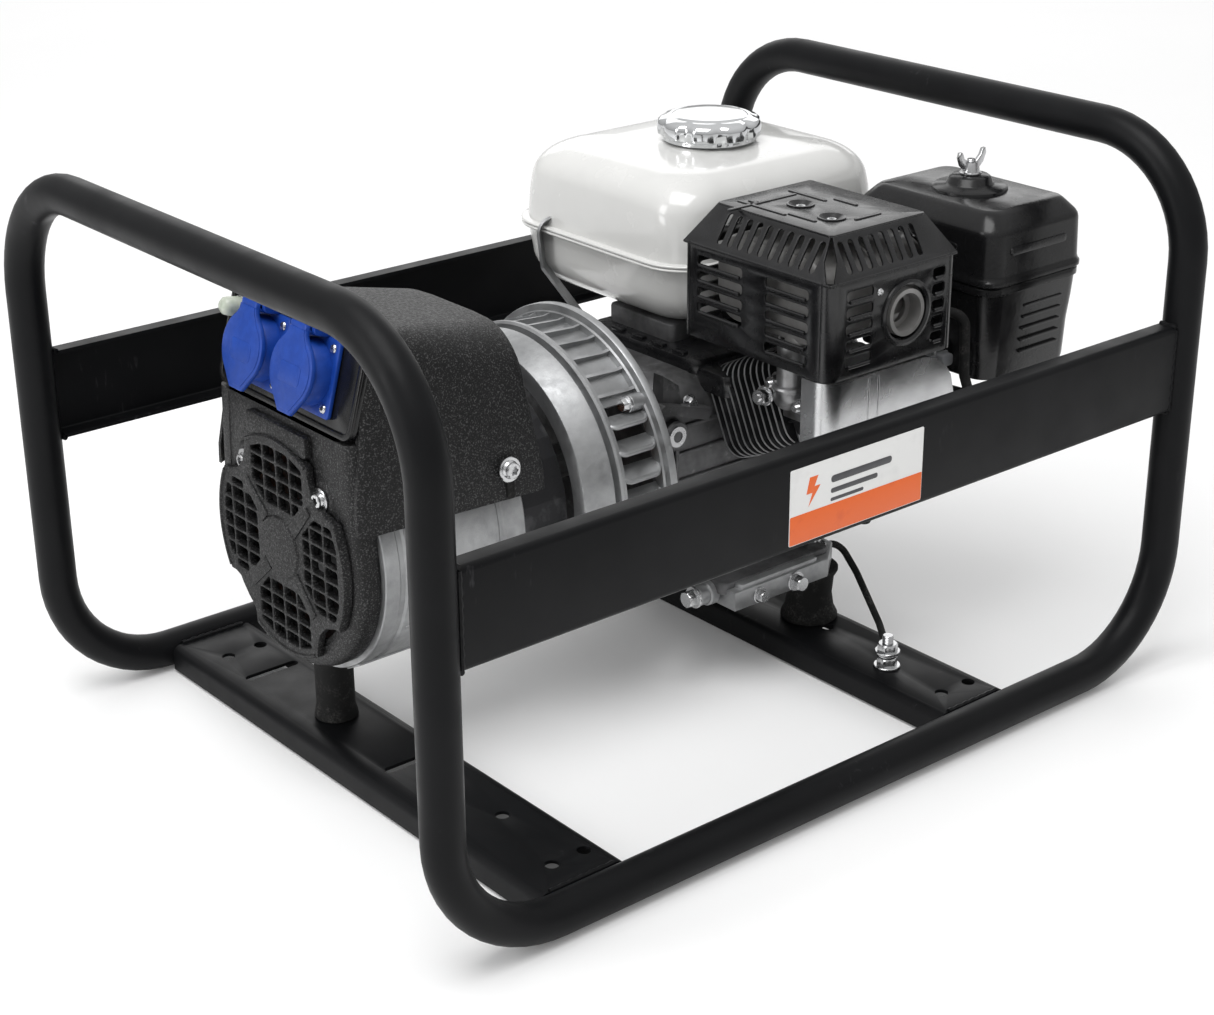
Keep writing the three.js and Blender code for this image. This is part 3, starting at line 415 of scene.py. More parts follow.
# ---------------------------------------------------------------- materials
class Finish:
    """A Principled material with helpers for its nodes. Coordinates are metres on the object."""

    def __init__(self, name, colour, roughness, metallic=0.0, **sockets):
        self.material = bpy.data.materials.new(name)
        self.material.use_nodes = True
        self.tree = self.material.node_tree
        self.shader = self.tree.nodes["Principled BSDF"]
        self.colour = colour
        self.shader.inputs["Base Color"].default_value = (*colour, 1)
        self.shader.inputs["Roughness"].default_value = roughness
        self.shader.inputs["Metallic"].default_value = metallic
        for name, value in sockets.items():
            self.shader.inputs[name.replace("_", " ")].default_value = value
        self.place = self.tree.nodes.new("ShaderNodeTexCoord").outputs["Object"]
        self.last_bump = None

    def node(self, kind, **values):
        made = self.tree.nodes.new(kind)
        for key, value in values.items():
            if hasattr(made, key):
                setattr(made, key, value)
            else:
                made.inputs[key].default_value = value
        return made

    def wire(self, a, b):
        self.tree.links.new(a, b)

    def stretched(self, scale):
        made = self.node("ShaderNodeMapping")
        made.inputs["Scale"].default_value = scale
        self.wire(self.place, made.inputs["Vector"])
        return made.outputs["Vector"]

    def noise(self, scale, detail=3, rough=0.5, stretch=None):
        made = self.node("ShaderNodeTexNoise", Scale=scale, Detail=detail, Roughness=rough)
        self.wire(self.stretched(stretch) if stretch else self.place, made.inputs["Vector"])
        return made.outputs["Fac"]

    def cells(self, scale):
        made = self.node("ShaderNodeTexVoronoi", Scale=scale)
        self.wire(self.place, made.inputs["Vector"])
        return made.outputs["Distance"]

    def ramp(self, source, low, high, a=0.0, b=1.0):
        """Maps source from low..high to a..b, held at both ends."""
        made = self.node("ShaderNodeMapRange")
        made.inputs["From Min"].default_value = low
        made.inputs["From Max"].default_value = high
        made.inputs["To Min"].default_value = a
        made.inputs["To Max"].default_value = b
        self.wire(source, made.inputs["Value"])
        return made.outputs["Result"]

    def product(self, a, b):
        made = self.node("ShaderNodeMath", operation="MULTIPLY")
        self.wire(a, made.inputs[0])
        self.wire(b, made.inputs[1])
        return made.outputs[0]

    def paint(self, mask, other, socket="Base Color"):
        """Mixes another colour over what the socket has now, where mask is 1."""
        mix = self.node("ShaderNodeMix", data_type="RGBA")
        self.wire(mask, mix.inputs[0])
        target = self.shader.inputs[socket]
        if target.is_linked:
            self.wire(target.links[0].from_socket, mix.inputs[6])
        else:
            mix.inputs[6].default_value = (*self.colour, 1)
        mix.inputs[7].default_value = (*other, 1)
        self.wire(mix.outputs[2], target)
        return self

    def roughen(self, source):
        self.wire(source, self.shader.inputs["Roughness"])
        return self

    def bump(self, height, strength, distance):
        made = self.node("ShaderNodeBump", Strength=strength, Distance=distance)
        self.wire(height, made.inputs["Height"])
        if self.last_bump:
            self.wire(self.last_bump, made.inputs["Normal"])
        self.last_bump = made.outputs["Normal"]
        self.wire(self.last_bump, self.shader.inputs["Normal"])
        return self

    def mottled(self, scale, other, low=0.4, high=0.7):
        return self.paint(self.ramp(self.noise(scale, 4, 0.6), low, high), other)


def frame_paint():
    f = Finish("frame_paint", (0.0045, 0.0047, 0.0053), 0.42, Specular_IOR_Level=0.13)
    f.mottled(9, (0.0068, 0.007, 0.0078))
    scuffs = f.product(
        f.ramp(f.noise(14, 4, 0.7), 0.62, 0.7), f.ramp(f.noise(220, 3, 0.6, (1, 1, 0.2)), 0.58, 0.68),
    )
    f.paint(scuffs, (0.028, 0.028, 0.03))
    f.roughen(f.ramp(f.noise(35, 4), 0.3, 0.7, 0.34, 0.48))
    f.bump(f.noise(900, 2), 0.09, 0.0004)
    return f


def rubber():
    f = Finish("rubber", (0.009, 0.009, 0.009), 0.8, Specular_IOR_Level=0.25)
    dust = f.product(f.ramp(f.noise(60, 5, 0.7), 0.48, 0.7), f.ramp(f.noise(700, 2), 0.4, 0.7))
    f.paint(dust, (0.07, 0.068, 0.065))
    f.bump(f.noise(1200, 3), 0.3, 0.0004)
    return f


def grained_plastic():
    f = Finish("grained_plastic", (0.005, 0.005, 0.0053), 0.5, Specular_IOR_Level=0.3)
    f.mottled(12, (0.009, 0.009, 0.0093))
    f.paint(f.ramp(f.noise(900, 2, 0.6), 0.54, 0.66), (0.075, 0.075, 0.076))
    f.roughen(f.ramp(f.noise(500, 2), 0.35, 0.65, 0.4, 0.6))
    f.bump(f.noise(900, 2, 0.6), 0.5, 0.0006)
    return f


def gloss_plastic():
    f = Finish("gloss_plastic", (0.005, 0.005, 0.0053), 0.24, Specular_IOR_Level=0.38)
    f.roughen(f.ramp(f.noise(50, 4), 0.35, 0.7, 0.18, 0.32))
    f.mottled(700, (0.01, 0.01, 0.011), 0.45, 0.7)
    f.bump(f.noise(350, 2), 0.12, 0.0005)
    return f


def black_enamel():
    f = Finish("black_enamel", (0.0045, 0.0045, 0.005), 0.25, Specular_IOR_Level=0.55)
    f.roughen(f.ramp(f.noise(70, 4), 0.35, 0.7, 0.19, 0.32))
    f.mottled(40, (0.009, 0.009, 0.01))
    f.bump(f.noise(260, 2), 0.1, 0.0006)
    return f


def socket_blue():
    f = Finish("socket_blue", (0.006, 0.042, 0.27), 0.42, Specular_IOR_Level=0.3)
    f.mottled(140, (0.009, 0.054, 0.33))
    f.roughen(f.ramp(f.noise(300, 3), 0.3, 0.7, 0.34, 0.5))
    f.bump(f.noise(1300, 2), 0.16, 0.0003)
    return f


def boot_clear():
    f = Finish("boot_clear", (0.72, 0.76, 0.66), 0.24, Transmission_Weight=0.35)
    f.mottled(160, (0.55, 0.62, 0.5))
    f.bump(f.noise(400, 3), 0.2, 0.0005)
    return f


def cast_aluminium():
    f = Finish("cast_aluminium", (0.4, 0.405, 0.41), 0.42, 0.85)
    f.mottled(45, (0.3, 0.305, 0.31))
    f.paint(f.ramp(f.noise(16, 4, 0.7), 0.58, 0.85), (0.2, 0.2, 0.205))
    f.roughen(f.ramp(f.noise(220, 4), 0.3, 0.7, 0.32, 0.52))
    f.bump(f.noise(900, 3, 0.65), 0.22, 0.0005)
    return f


def dark_cast():
    f = Finish("cast_sooty", (0.13, 0.13, 0.133), 0.5, 0.7)
    f.mottled(24, (0.05, 0.05, 0.05), 0.45, 0.65)
    f.paint(f.ramp(f.noise(70, 5, 0.7), 0.6, 0.8), (0.26, 0.26, 0.265))
    f.roughen(f.ramp(f.noise(220, 4), 0.3, 0.7, 0.4, 0.6))
    f.bump(f.noise(900, 3, 0.65), 0.3, 0.0005)
    return f


def bare_sheet():
    f = Finish("bare_sheet", (0.3, 0.295, 0.29), 0.34, 0.35)
    f.mottled(30, (0.2, 0.195, 0.19))
    f.roughen(f.ramp(f.noise(60, 3), 0.3, 0.7, 0.28, 0.45))
    return f


def fin_black():
    f = Finish("fin_black", (0.01, 0.01, 0.011), 0.5, 0.3, Specular_IOR_Level=0.3)
    f.mottled(60, (0.045, 0.045, 0.048), 0.5, 0.75)
    f.bump(f.noise(800, 3), 0.35, 0.0005)
    return f


def steel():
    f = Finish("steel", (0.33, 0.33, 0.335), 0.36, 1.0)
    f.mottled(55, (0.16, 0.155, 0.15), 0.45, 0.75)
    f.roughen(f.ramp(f.noise(90, 5), 0.3, 0.7, 0.28, 0.52))
    f.bump(f.noise(500, 3), 0.12, 0.0004)
    return f


def zinc_steel():
    f = Finish("zinc_steel", (0.62, 0.625, 0.63), 0.26, 1.0)
    f.mottled(28, (0.5, 0.5, 0.51))
    f.roughen(f.ramp(f.noise(40, 3), 0.3, 0.7, 0.2, 0.3))
    f.bump(f.noise(300, 2), 0.03, 0.0003)
    return f


def lamination():
    f = Finish("lamination", (0.028, 0.028, 0.03), 0.42, 0.7)
    sheets = f.node("ShaderNodeTexWave", Scale=320, wave_type="BANDS", bands_direction="X")
    f.wire(f.place, sheets.inputs["Vector"])
    f.paint(f.ramp(f.noise(40, 4), 0.55, 0.75), (0.12, 0.12, 0.125))
    f.bump(sheets.outputs["Fac"], 0.4, 0.0003)
    return f


def copper():
    f = Finish("copper", (0.34, 0.12, 0.05), 0.4, 0.9)
    turns = f.node(
        "ShaderNodeTexWave", Scale=260, Distortion=2, wave_type="BANDS", bands_direction="DIAGONAL",
    )
    f.wire(f.place, turns.inputs["Vector"])
    f.mottled(50, (0.18, 0.06, 0.03))
    f.bump(turns.outputs["Fac"], 0.7, 0.0006)
    return f


def tank_white():
    f = Finish("tank_white", (0.66, 0.66, 0.645), 0.2, Coat_Weight=0.6, Coat_Roughness=0.06)
    f.mottled(7, (0.6, 0.6, 0.588))
    f.roughen(f.ramp(f.noise(45, 4), 0.3, 0.7, 0.16, 0.3))
    f.bump(f.noise(140, 2), 0.05, 0.0006)
    return f


def chrome():
    f = Finish("chrome", (0.72, 0.73, 0.74), 0.12, 1.0)
    f.roughen(f.ramp(f.noise(30, 3), 0.35, 0.7, 0.08, 0.16))
    f.mottled(20, (0.64, 0.65, 0.66))
    return f


def foam():
    f = Finish("foam", (0.05, 0.05, 0.045), 0.95)
    f.mottled(300, (0.02, 0.02, 0.018))
    f.bump(f.cells(700), 0.9, 0.001)
    return f


def grey_plastic():
    f = Finish("grey_plastic", (0.2, 0.205, 0.215), 0.45)
    f.mottled(80, (0.14, 0.145, 0.15))
    f.bump(f.noise(900, 2), 0.2, 0.0004)
    return f


FINISHES = (
    frame_paint, rubber, grained_plastic, gloss_plastic, black_enamel, socket_blue, boot_clear,
    cast_aluminium, fin_black, steel, zinc_steel, lamination, copper, tank_white, chrome, foam,
    grey_plastic,
)
SLOTS = {finish.__name__: finish for finish in FINISHES}
made_looks = {}


def look(slot):
    if slot not in made_looks:
        made_looks[slot] = SLOTS[slot]().material
    return made_looks[slot]


# ---------------------------------------------------------------- carrying frame
TUBE = ("frame_rail_front", "frame_rail_rear", "frame_hoop_alternator_end", "frame_hoop_engine_end")
BEND_R = 80


def frame_tube():
    low, high = span(*TUBE)
    rail_low, rail_high = span("frame_rail_front")
    r = (rail_high.y - rail_low.y) / 2
    x0, x1, y0, y1 = low.x + r, high.x - r, low.y + r, high.y - r
    z0, z1 = low.z + r, high.z - r
    corners = [(x0, y0, z0), (x1, y0, z0), (x1, y0, z1), (x1, y1, z1)]
    corners += [(x1, y1, z0), (x0, y1, z0), (x0, y1, z1), (x0, y0, z1)]
    path = bent(corners, BEND_R, 14, closed=True)
    shape = Shape().sweep(path, r, closed=True, sides=28)
    piece(shape, "frame_tube", "frame_paint", stands_for=TUBE)


def bead(shape, path, r=1.7, closed=False):
    """A weld bead: a thin bar with ripples along it."""
    rings = []
    for k, (at, normal, side) in enumerate(transported([Vector(p) for p in path], closed)):
        k_r = r * (1 + 0.16 * math.sin(k * 1.9) + 0.1 * rng.random())
        rings.append([at + normal * a + side * b for a, b in circle(0, 0, k_r, 8)])
    shape.loft(rings, closed=closed)


def line(a, b, step=2.2):
    a, b = Vector(a), Vector(b)
    count = max(2, int((b - a).length / step))
    return [a.lerp(b, i / count) for i in range(count + 1)]


def channel_section(face, lip, low, high, sheet, r=4):
    """A folded channel in Y and Z with rounded folds, its lips pointing from face to lip."""
    s = 1 if lip > face else -1
    fold = face + s * r
    side, bottom = 90 + 90 * s, 90 + 180 * s
    outer = [
        (lip, high), *arc(fold, high - r, r, 90, side, 3), *arc(fold, low + r, r, side, bottom, 3),
        (lip, low),
    ]
    k = r - sheet
    inner = [
        (lip, low + sheet), *arc(fold, low + r, k, bottom, side, 3), *arc(fold, high - r, k, side, 90, 3),
    ]
    return [*outer, *inner, (lip, high - sheet)]


def side_bars():
    beads = Shape()
    for name in ("side_bar_front", "side_bar_rear"):
        low, high = span(name)
        face, lip = (low.y, high.y) if low.y < 0 else (high.y, low.y)
        section = channel_section(face, lip, low.z, high.z, 2.5)
        rings = [[(x, y, z) for y, z in section] for x in (low.x, high.x)]
        piece(Shape().loft(rings), name + "_folded", "frame_paint", stands_for=(name,))
        for x in (low.x, high.x):
            y = face + (1.2 if face < 0 else -1.2)
            bead(beads, line((x, y, low.z + 2), (x, y, high.z - 2)))
            for z in (low.z, high.z):
                bead(beads, line((x, y, z), (x, lip, z)))
    for name in ("cross_plate_alternator", "cross_plate_engine"):
        low, high = span(name)
        for y in (low.y, high.y):
            bead(beads, line((low.x + 8, y, high.z), (high.x - 8, y, high.z)), 2)
    piece(beads, "weld_beads", "frame_paint")


def side_label():
    """A blank sticker: white with an orange lower band and a plain lightning sign."""
    low, high = span("side_bar_front")
    x0, x1, z0, z1 = -62, 52, low.z + 4, high.z - 9
    face = lambda depth: Matrix.Translation((0, low.y - depth, 0)) @ turned(90, "X")
    sheet = Shape().plate(rounded((x0, x1), (z0, z1), 1.2), (-0.1, 0.35), (), 0.15, face(0))
    sticker = Finish("sticker_white", (0.8, 0.8, 0.79), 0.32)
    sticker.mottled(60, (0.72, 0.72, 0.71), 0.55, 0.8)
    sticker.bump(sticker.noise(500, 2), 0.05, 0.0003)
    piece(sheet, "side_sticker", None, finish=sticker)
    orange = Finish("sticker_orange", (0.8, 0.13, 0.012), 0.32)
    orange.mottled(60, (0.7, 0.1, 0.01), 0.55, 0.8)
    marks = Shape().plate(
        rounded((x0 + 0.4, x1 - 0.4), (z0 + 0.4, z0 + 19), 0.8), (0.3, 0.5), (), 0.08, face(0),
    )
    sign = [(-47, 35), (-40, 35), (-43, 28.5), (-38, 28.5), (-47.5, 16.5), (-44.6, 24.6), (-49.5, 24.6)]
    marks.plate([(x + 1, z + z0 + 6) for x, z in sign], (0.3, 0.5), (), 0.08, face(0))
    piece(marks, "side_sticker_marks", None, finish=orange)
    grey = Finish("sticker_grey", (0.05, 0.05, 0.055), 0.35)
    grey.mottled(90, (0.07, 0.07, 0.075), 0.5, 0.8)
    bars = Shape()
    for x, width, z, height in ((-8, 52, 34, 4.6), (-14, 40, 26.5, 3.2), (-20, 28, 20.8, 2.2)):
        bars.plate(around(x + 6, z + z0 + 1, width, height, height * 0.45), (0.3, 0.5), (), 0.08, face(0))
    piece(bars, "side_sticker_bars", None, finish=grey)


def cross_plates():
    alternator_holes = [(-216, 175), (-189, 176), (-211, -191), (-186, -191), (-199, -126)]
    engine_holes = [(131, -192), (157, -193), (144, -68), (131, 192), (157, 193)]
    slots = [(-204, 136), (-203, -34)]
    for name, holes, runs in (
        ("cross_plate_alternator", alternator_holes, slots),
        ("cross_plate_engine", engine_holes, []),
    ):
        low, high = span(name)
        roll, sheet = 6, 2.5
        cuts = [circle(x, y, 4.6, 20) for x, y in holes]
        cuts += [around(x, y, 42, 7, 3.3) for x, y in runs]
        flat = rounded((low.x + roll, high.x - roll), (low.y, high.y), 0.5, 2)
        shape = Shape().plate(flat, (high.z - sheet, high.z), cuts, 0.3)
        for side, x in ((-1, low.x), (1, high.x)):
            cx, cz = x - side * roll, high.z - roll
            outer = arc(cx, cz, roll, 90, 90 - 90 * side, 6)
            inner = arc(cx, cz, roll - sheet, 90 - 90 * side, 90, 6)
            section = [*outer, (x, low.z), (x - side * sheet, low.z), *inner]
            shape.loft([[(px, y, pz) for px, pz in section] for y in (low.y, high.y)])
        piece(shape, name + "_pressed", "frame_paint", stands_for=(name,))


# ---------------------------------------------------------------- alternator
AXIS = Vector((0, 45, 158))


def to_axis(x):
    """Drawn in (Y, Z) offsets from the crank axis, with depth running towards -X."""
    return lambda v: Vector((x - v.z, AXIS.y + v.x, AXIS.z + v.y))


def lobe_outline(r=75, half=35, notch=48):
    """The grille's edge: four round lobes with a square notch between each pair."""
    points = []
    reach = math.degrees(math.asin(half / r))
    for quarter in range(4):
        a0 = 90 * quarter
        points += arc(0, 0, r, a0 - reach, a0 + reach, 8)
        inner = half + 4
        c, s = math.cos(math.radians(a0)), math.sin(math.radians(a0))
        for u, v in ((notch + 12, half), (notch, inner), (inner, notch), (half, notch + 12)):
            points.append((u * c - v * s, u * s + v * c))
    return points


def end_grille():
    low, high = span("end_grille")
    r = (high.z - low.z) / 2
    half = 37
    holes = []
    arm = 6.5
    for quarter in range(4):
        turn = math.radians(90 * quarter)
        c, s = math.cos(turn), math.sin(turn)
        k = math.sqrt(0.5)
        edges = [((-k, k), -arm), ((-k, -k), -arm), ((-1, 0), -27), ((0, 1), half - 5), ((0, -1), half - 5)]
        edges += [((math.cos(a), math.sin(a)), r - 7) for a in [math.radians(d) for d in range(-40, 41, 10)]]
        upright = quarter % 2 == 0
        wide, tall = 15.5, 10.5
        for row in range(-8, 9):
            for column in range(-6, 7):
                cy, cz = column * wide + (wide / 2 if not upright else 3), row * tall
                cell = [(cy - wide / 2 + 1, cz - tall / 2 + 1), (cy + wide / 2 - 1, cz - tall / 2 + 1)]
                cell += [(cy + wide / 2 - 1, cz + tall / 2 - 1), (cy - wide / 2 + 1, cz + tall / 2 - 1)]
                local = [(a * c + b * s, -a * s + b * c) for a, b in cell]
                local = clipped(local, edges)
                if len(local) > 2 and abs(area(local)) > 16:
                    local = softened(local, 1.0)
                    holes.append([(a * c - b * s, a * s + b * c) for a, b in local])
    shape = Shape()
    x = high.x
    shape.plate(lobe_outline(r, half), (0.2, high.x - low.x - 2), holes, 0.9, to_axis(x))
    shape.turn([(22, 1), (22, 5.4), (20.5, 7), (12, 7.7), (1, 7.9)], 40, to_axis(x))
    for a in (45, 135, 225, 315):
        c, s = math.cos(math.radians(a)), math.sin(math.radians(a))
        ridge = [
            (22 * c - 5 * s, 22 * s + 5 * c), (22 * c + 5 * s, 22 * s - 5 * c),
            (52 * c + 3 * s, 52 * s - 3 * c), (52 * c - 3 * s, 52 * s + 3 * c),
        ]
        shape.plate(ridge, (3, 6.8), (), 0.7, to_axis(x))
    rim = [(r - 2.5, 0), (r, 0.6), (r, 5.2), (r - 0.8, 6.6), (r - 2.2, 6.6), (r - 3, 5.6)]
    for quarter in range(4):
        shape.hoop(rim, 14, to_axis(x), 90 * quarter - 28, 90 * quarter + 28)
    piece(shape, "end_grille_moulded", "grained_plastic", stands_for=("end_grille",), smooth=40)


def cover_ring(x, grow_by, lift=0.0):
    """The end cover's outline at x: a round bottom whose sides rise to the panel."""
    low, high = span("end_cover")
    r = AXIS.z - low.z
    half = 77 + grow_by
    top = high.z + lift
    bottom = arc(AXIS.y, AXIS.z, r + grow_by, -172, -8, 22)
    side = []
    for k in range(1, 7):
        t = k / 6
        side.append(
            (AXIS.y + (r + grow_by) * 0.985 * (1 - t) + half * t, AXIS.z - 6 + (top - AXIS.z + 6) * t)
        )
    left = [(2 * AXIS.y - y, z) for y, z in side[::-1]]
    return [(x, y, z) for y, z in bottom + side + left]


COVER_SCREW_Y, COVER_SCREW_Z = 44.5, 46  # from the crank axis


def end_cover():
    low, high = span("end_cover")
    shape = Shape()
    x0, x1 = low.x, high.x
    rings = [
        cover_ring(x1, -3), cover_ring(x1, 0), cover_ring(x0 + 7, 0), cover_ring(x0 + 2.5, -2),
        cover_ring(x0, -6),
    ]
    rings += [cover_ring(x0, -14), cover_ring(x0 + 2.5, -16), cover_ring(x1, -16)]
    shape.loft(rings, closed=True)
    face = [(v[1] - AXIS.y, v[2] - AXIS.z) for v in cover_ring(0, -12)]
    shape.plate(face, (0.5, 3.5), [circle(0, 0, 66, 48)], 0.8, to_axis(x0 + 4))
    for y in (-COVER_SCREW_Y, COVER_SCREW_Y):
        collar = lambda v: to_axis(x0 + 4)(v + Vector((y, COVER_SCREW_Z, 0)))
        shape.turn([(13, 0), (13, 3.2), (11, 4.6), (9, 4.6)], 28, collar)
    riser = rounded((-35, 35), (70, high.z - AXIS.z - 5), 3)
    shape.plate(riser, (0, 8), (), 1.6, to_axis(x0 + 3))
    piece(shape, "end_cover_moulded", "grained_plastic", stands_for=("end_cover",), smooth=40)
    screws = Shape()
    for y in (-COVER_SCREW_Y, COVER_SCREW_Y):
        screws.star_screw(to_axis_matrix(x0 - 0.6, y, COVER_SCREW_Z), 4.6, 3.4, 8)
    piece(screws, "end_cover_screws", "zinc_steel")


def to_axis_matrix(x, y, z):
    return spot((x, AXIS.y + y, AXIS.z + z), -X, Z)


def lean(z, shift=0.0):
    """X of the hood's front edge at height z: upright below the panel, leaning back along it."""
    low, high = span("socket_panel")
    if z <= low.z:
        return low.x + shift
    return low.x + (high.x - low.x - 2) * (z - low.z) / (high.z - low.z) + shift


def hood_section(t, inset):
    """Points of the hood's arch, t from 0 at the panel to 1 at the bell end."""
    low, high = span("alternator_hood")
    top = high.z - 1 - 23 * t - inset
    foot = 86 + 9 * t - inset
    crown = 76 - inset
    r = 17 + 25 * t - inset * 0.5
    points = [(AXIS.y + foot, low.z), (AXIS.y + foot - 1, low.z + 14)]
    points += arc(AXIS.y + crown - r, top - r, r, 8, 84, 9)
    points += [(AXIS.y + crown * 0.3, top + 0.6), (AXIS.y - crown * 0.3, top + 0.6)]
    points += arc(AXIS.y - crown + r, top - r, r, 96, 172, 9)
    points += [(AXIS.y - foot + 1, low.z + 14), (AXIS.y - foot, low.z)]
    return points


def alternator_hood():
    low, high = span("alternator_hood")
    stations = [
        (0.0, 3.2), (0.02, 1.2), (0.045, 0.2), (0.1, 0), (0.25, 0), (0.4, 0), (0.55, 0), (0.7, 0),
        (0.85, 0), (0.95, 0), (0.985, 0.8), (1.0, 2.6),
    ]
    rings = []
    for t, inset in stations + [(t, inset + 3) for t, inset in stations[::-1]]:
        ring = []
        for y, z in hood_section(t, inset):
            front = lean(z, -1.5)
            ring.append((front + (high.x - front) * t, y, z))
        rings.append(ring)
    count = len(rings[0])
    rings = [[r[i] for r in rings] for i in range(count)]
    shape = Shape().loft(rings)
    piece(shape, "alternator_hood_moulded", "grained_plastic", stands_for=("alternator_hood",), smooth=40)
    details = Shape()
    y = AXIS.y - 94.4
    details.star_screw(spot((-128, y + 2.4, 210), (0, -1, 0.08), Z), 5.2, 4, 8.4)
    details.star_screw(spot((-128, 2 * AXIS.y - y - 2.4, 210), (0, 1, 0.08), Z), 5.2, 4, 8.4)
    piece(details, "hood_screws", "zinc_steel")
    # Dark rubber-finish blocks stand in for the hood's two foot slots: painted shade for the unlit openings,
    # drawn solid rather than cut through.
    slots = Shape()
    for side in (-1, 1):
        yy = AXIS.y + side * 92.6
        slots.block(
            (-130.6, -125.4), (0.2, 14), (-1.6, 1.6), 0.4,
            Matrix.Translation((0, yy, low.z)) @ turned(90, "X"), 0.5,
        )
    piece(slots, "hood_slot_shade", "rubber")


def drum():
    low, high = span("stator_housing")
    r = (high.z - low.z) / 2
    place = spot((low.x, AXIS.y, AXIS.z), X, Z)
    length = high.x - low.x
    w = 5
    profile = [(r - w, 0), (r - 0.6, 0), (r, 0.8), (r, 11), (r - 1.4, 12.4), (r - 1.4, 16), (r, 17.4)]
    profile += [
        (r, length - 22), (r - 1, length - 20.6), (r - 1, length - 18), (r, length - 16.6), (r, length - 1),
    ]
    profile += [(r - 0.8, length), (r - w, length)]
    shape = Shape().hoop(profile, 96, place)
    for turn in (-62, 62, 118, -118):
        c, s = math.cos(math.radians(turn - 90)), math.sin(math.radians(turn - 90))
        at = Vector((0, AXIS.y + r * 0.985 * c, AXIS.z + r * 0.985 * s))
        if AXIS.z + r * s < 190:
            shape.rod(at + X * (low.x + 20), at + X * (high.x - 24), 2.2, 12)
    flap = rounded((low.x + 2, high.x - 2), (-9, 9), 1.5, 2)
    s, c = math.sin(math.radians(28)), math.cos(math.radians(28))
    shape.plate(
        flap, (-1.2, 0.9), (), 0.5, spot((0, AXIS.y - r * s, AXIS.z - r * c), (0, -s, -c), (0, -c, s)),
    )
    piece(shape, "stator_drum", "cast_aluminium", stands_for=("stator_housing",), smooth=32)


BELL_BOLTS = (40, 140, 225, 315)  # degrees round the crank axis


def bell_housing():
    low, high = span("bell_housing")
    rim = (high.z - low.z) / 2
    R = rim - 5
    place = spot((0, AXIS.y, AXIS.z), X, Z)
    shape = Shape()
    band = [
        (84, low.x), (94.4, low.x), (95.6, low.x + 0.8), (98.5, -60), (101.4, -53), (102.6, -48.4),
        (101.6, -47.6), (98.2, -47.2),
    ]
    band += [
        (97.6, -45), (R - 1.6, -44.4), (R, -43), (R, -40.5), (R - 1, -39.6), (R - 6.5, -39.4),
        (R - 6.5, -44), (84, -60),
    ]
    shape.hoop(band, 112, place)
    flange = [
        (R - 5, -9), (R - 0.6, -8.6), (R, -7), (rim - 0.5, -6.4), (rim, -5.6), (rim, -1), (rim - 0.7, -0.3),
        (R - 8, -0.3), (R - 8, -9),
    ]
    shape.hoop(flange, 112, place)
    for a in (*range(143, 210, 10), *range(337, 400, 10), *range(242, 302, 12)):
        louvre(shape, a)
    for a in range(45, 138, 9):
        pocket_wall(shape, a)
    skin = [(R - 7.5, -41), (R - 5, -41), (R - 5, -8), (R - 7.5, -8)]
    for start, end in ((40, 139), (208, 238), (302, 332)):
        shape.hoop(skin, 40, place, start, end)
    for a in BELL_BOLTS:
        boss_at = ring_point(a, R - 4.5, -12)
        shape.rod(boss_at - X * 5, boss_at + X * 6, 6.2, 20)
    piece(shape, "bell_housing_cast", "cast_aluminium", stands_for=("bell_housing",), smooth=34)
    bolts = Shape()
    for a in BELL_BOLTS:
        bolts.bolt(spot(ring_point(a, R - 4.5, -17.2), -X, Z), 8, 4.5, 6)
    piece(bolts, "bell_bolts", "zinc_steel")


def bell_radius():
    """Radius of the bell's wall, 5 mm inside its flange."""
    low, high = span("bell_housing")
    return (high.z - low.z) / 2 - 5


def ring_point(angle, r, x):
    """A point round the crank axis: angle 0 towards +Y, 90 up, 180 towards the near side."""
    a = math.radians(angle)
    return Vector((x, AXIS.y + r * math.cos(a), AXIS.z + r * math.sin(a)))


def ring_frame(angle, x=0.0):
    """Local X along +X, local Y round the axis, local Z outwards."""
    a = math.radians(angle)
    out = Vector((0, math.cos(a), math.sin(a)))
    place = Matrix((X, out.cross(X), out)).transposed().to_4x4()
    place.translation = AXIS + X * x
    return place


def louvre(shape, angle):
    """A blade with a curled lower lip across one cooling opening of the bell."""
    R = bell_radius()
    lower = -1 if 90 < angle % 360 < 270 else 1
    if 240 < angle % 360 < 302:
        lower = 0.2
    outline = [
        (-44, R - 9), (-43, R - 3), *arc(-35.5, R - 6.4, 7, 165, 100, 5),
        *arc(-15.5, R - 6.4, 7, 80, 15, 5), (-8, R - 3), (-8, R - 9),
    ]
    drop = lambda r: (max(r - R + 9, 0) / 9) ** 1.5 * 8 * lower
    place = ring_frame(angle)
    shape.loft([[place @ Vector((x, off + drop(r), r)) for x, r in outline] for off in (-1.3, 1.3)])
    path = [place @ Vector((x, drop(r) + 0.6 * lower, r - 0.3)) for x, r in outline[2:-2]]
    shape.sweep(path, 1.7, sides=10)


def pocket_wall(shape, angle):
    """A thin web between two cast pockets on top of the bell."""
    R = bell_radius()
    place = ring_frame(angle)
    wide = 1.1 if angle % 20 else 1.6
    outline = [(-42, R - 7), (-42, R - 1.2), (-40, R - 0.4), (-14, R - 2.2), (-8, R - 1), (-8, R - 7)]
    shape.loft([[place @ Vector((x, off, r)) for x, r in outline] for off in (-wide, wide)])
    if angle % 20 == 0:
        for k in (-1, 1):
            run = [(-34, R - 5.6), (-34, R - 4), (-20, R - 4), (-20, R - 5.6)]
            shape.loft([[place @ Vector((x, off + k * 5, r)) for x, r in run] for off in (-0.8, 0.8)])


# ---------------------------------------------------------------- socket panel
PANEL_TILT = math.radians(15.5)
PANEL_THICK = 4


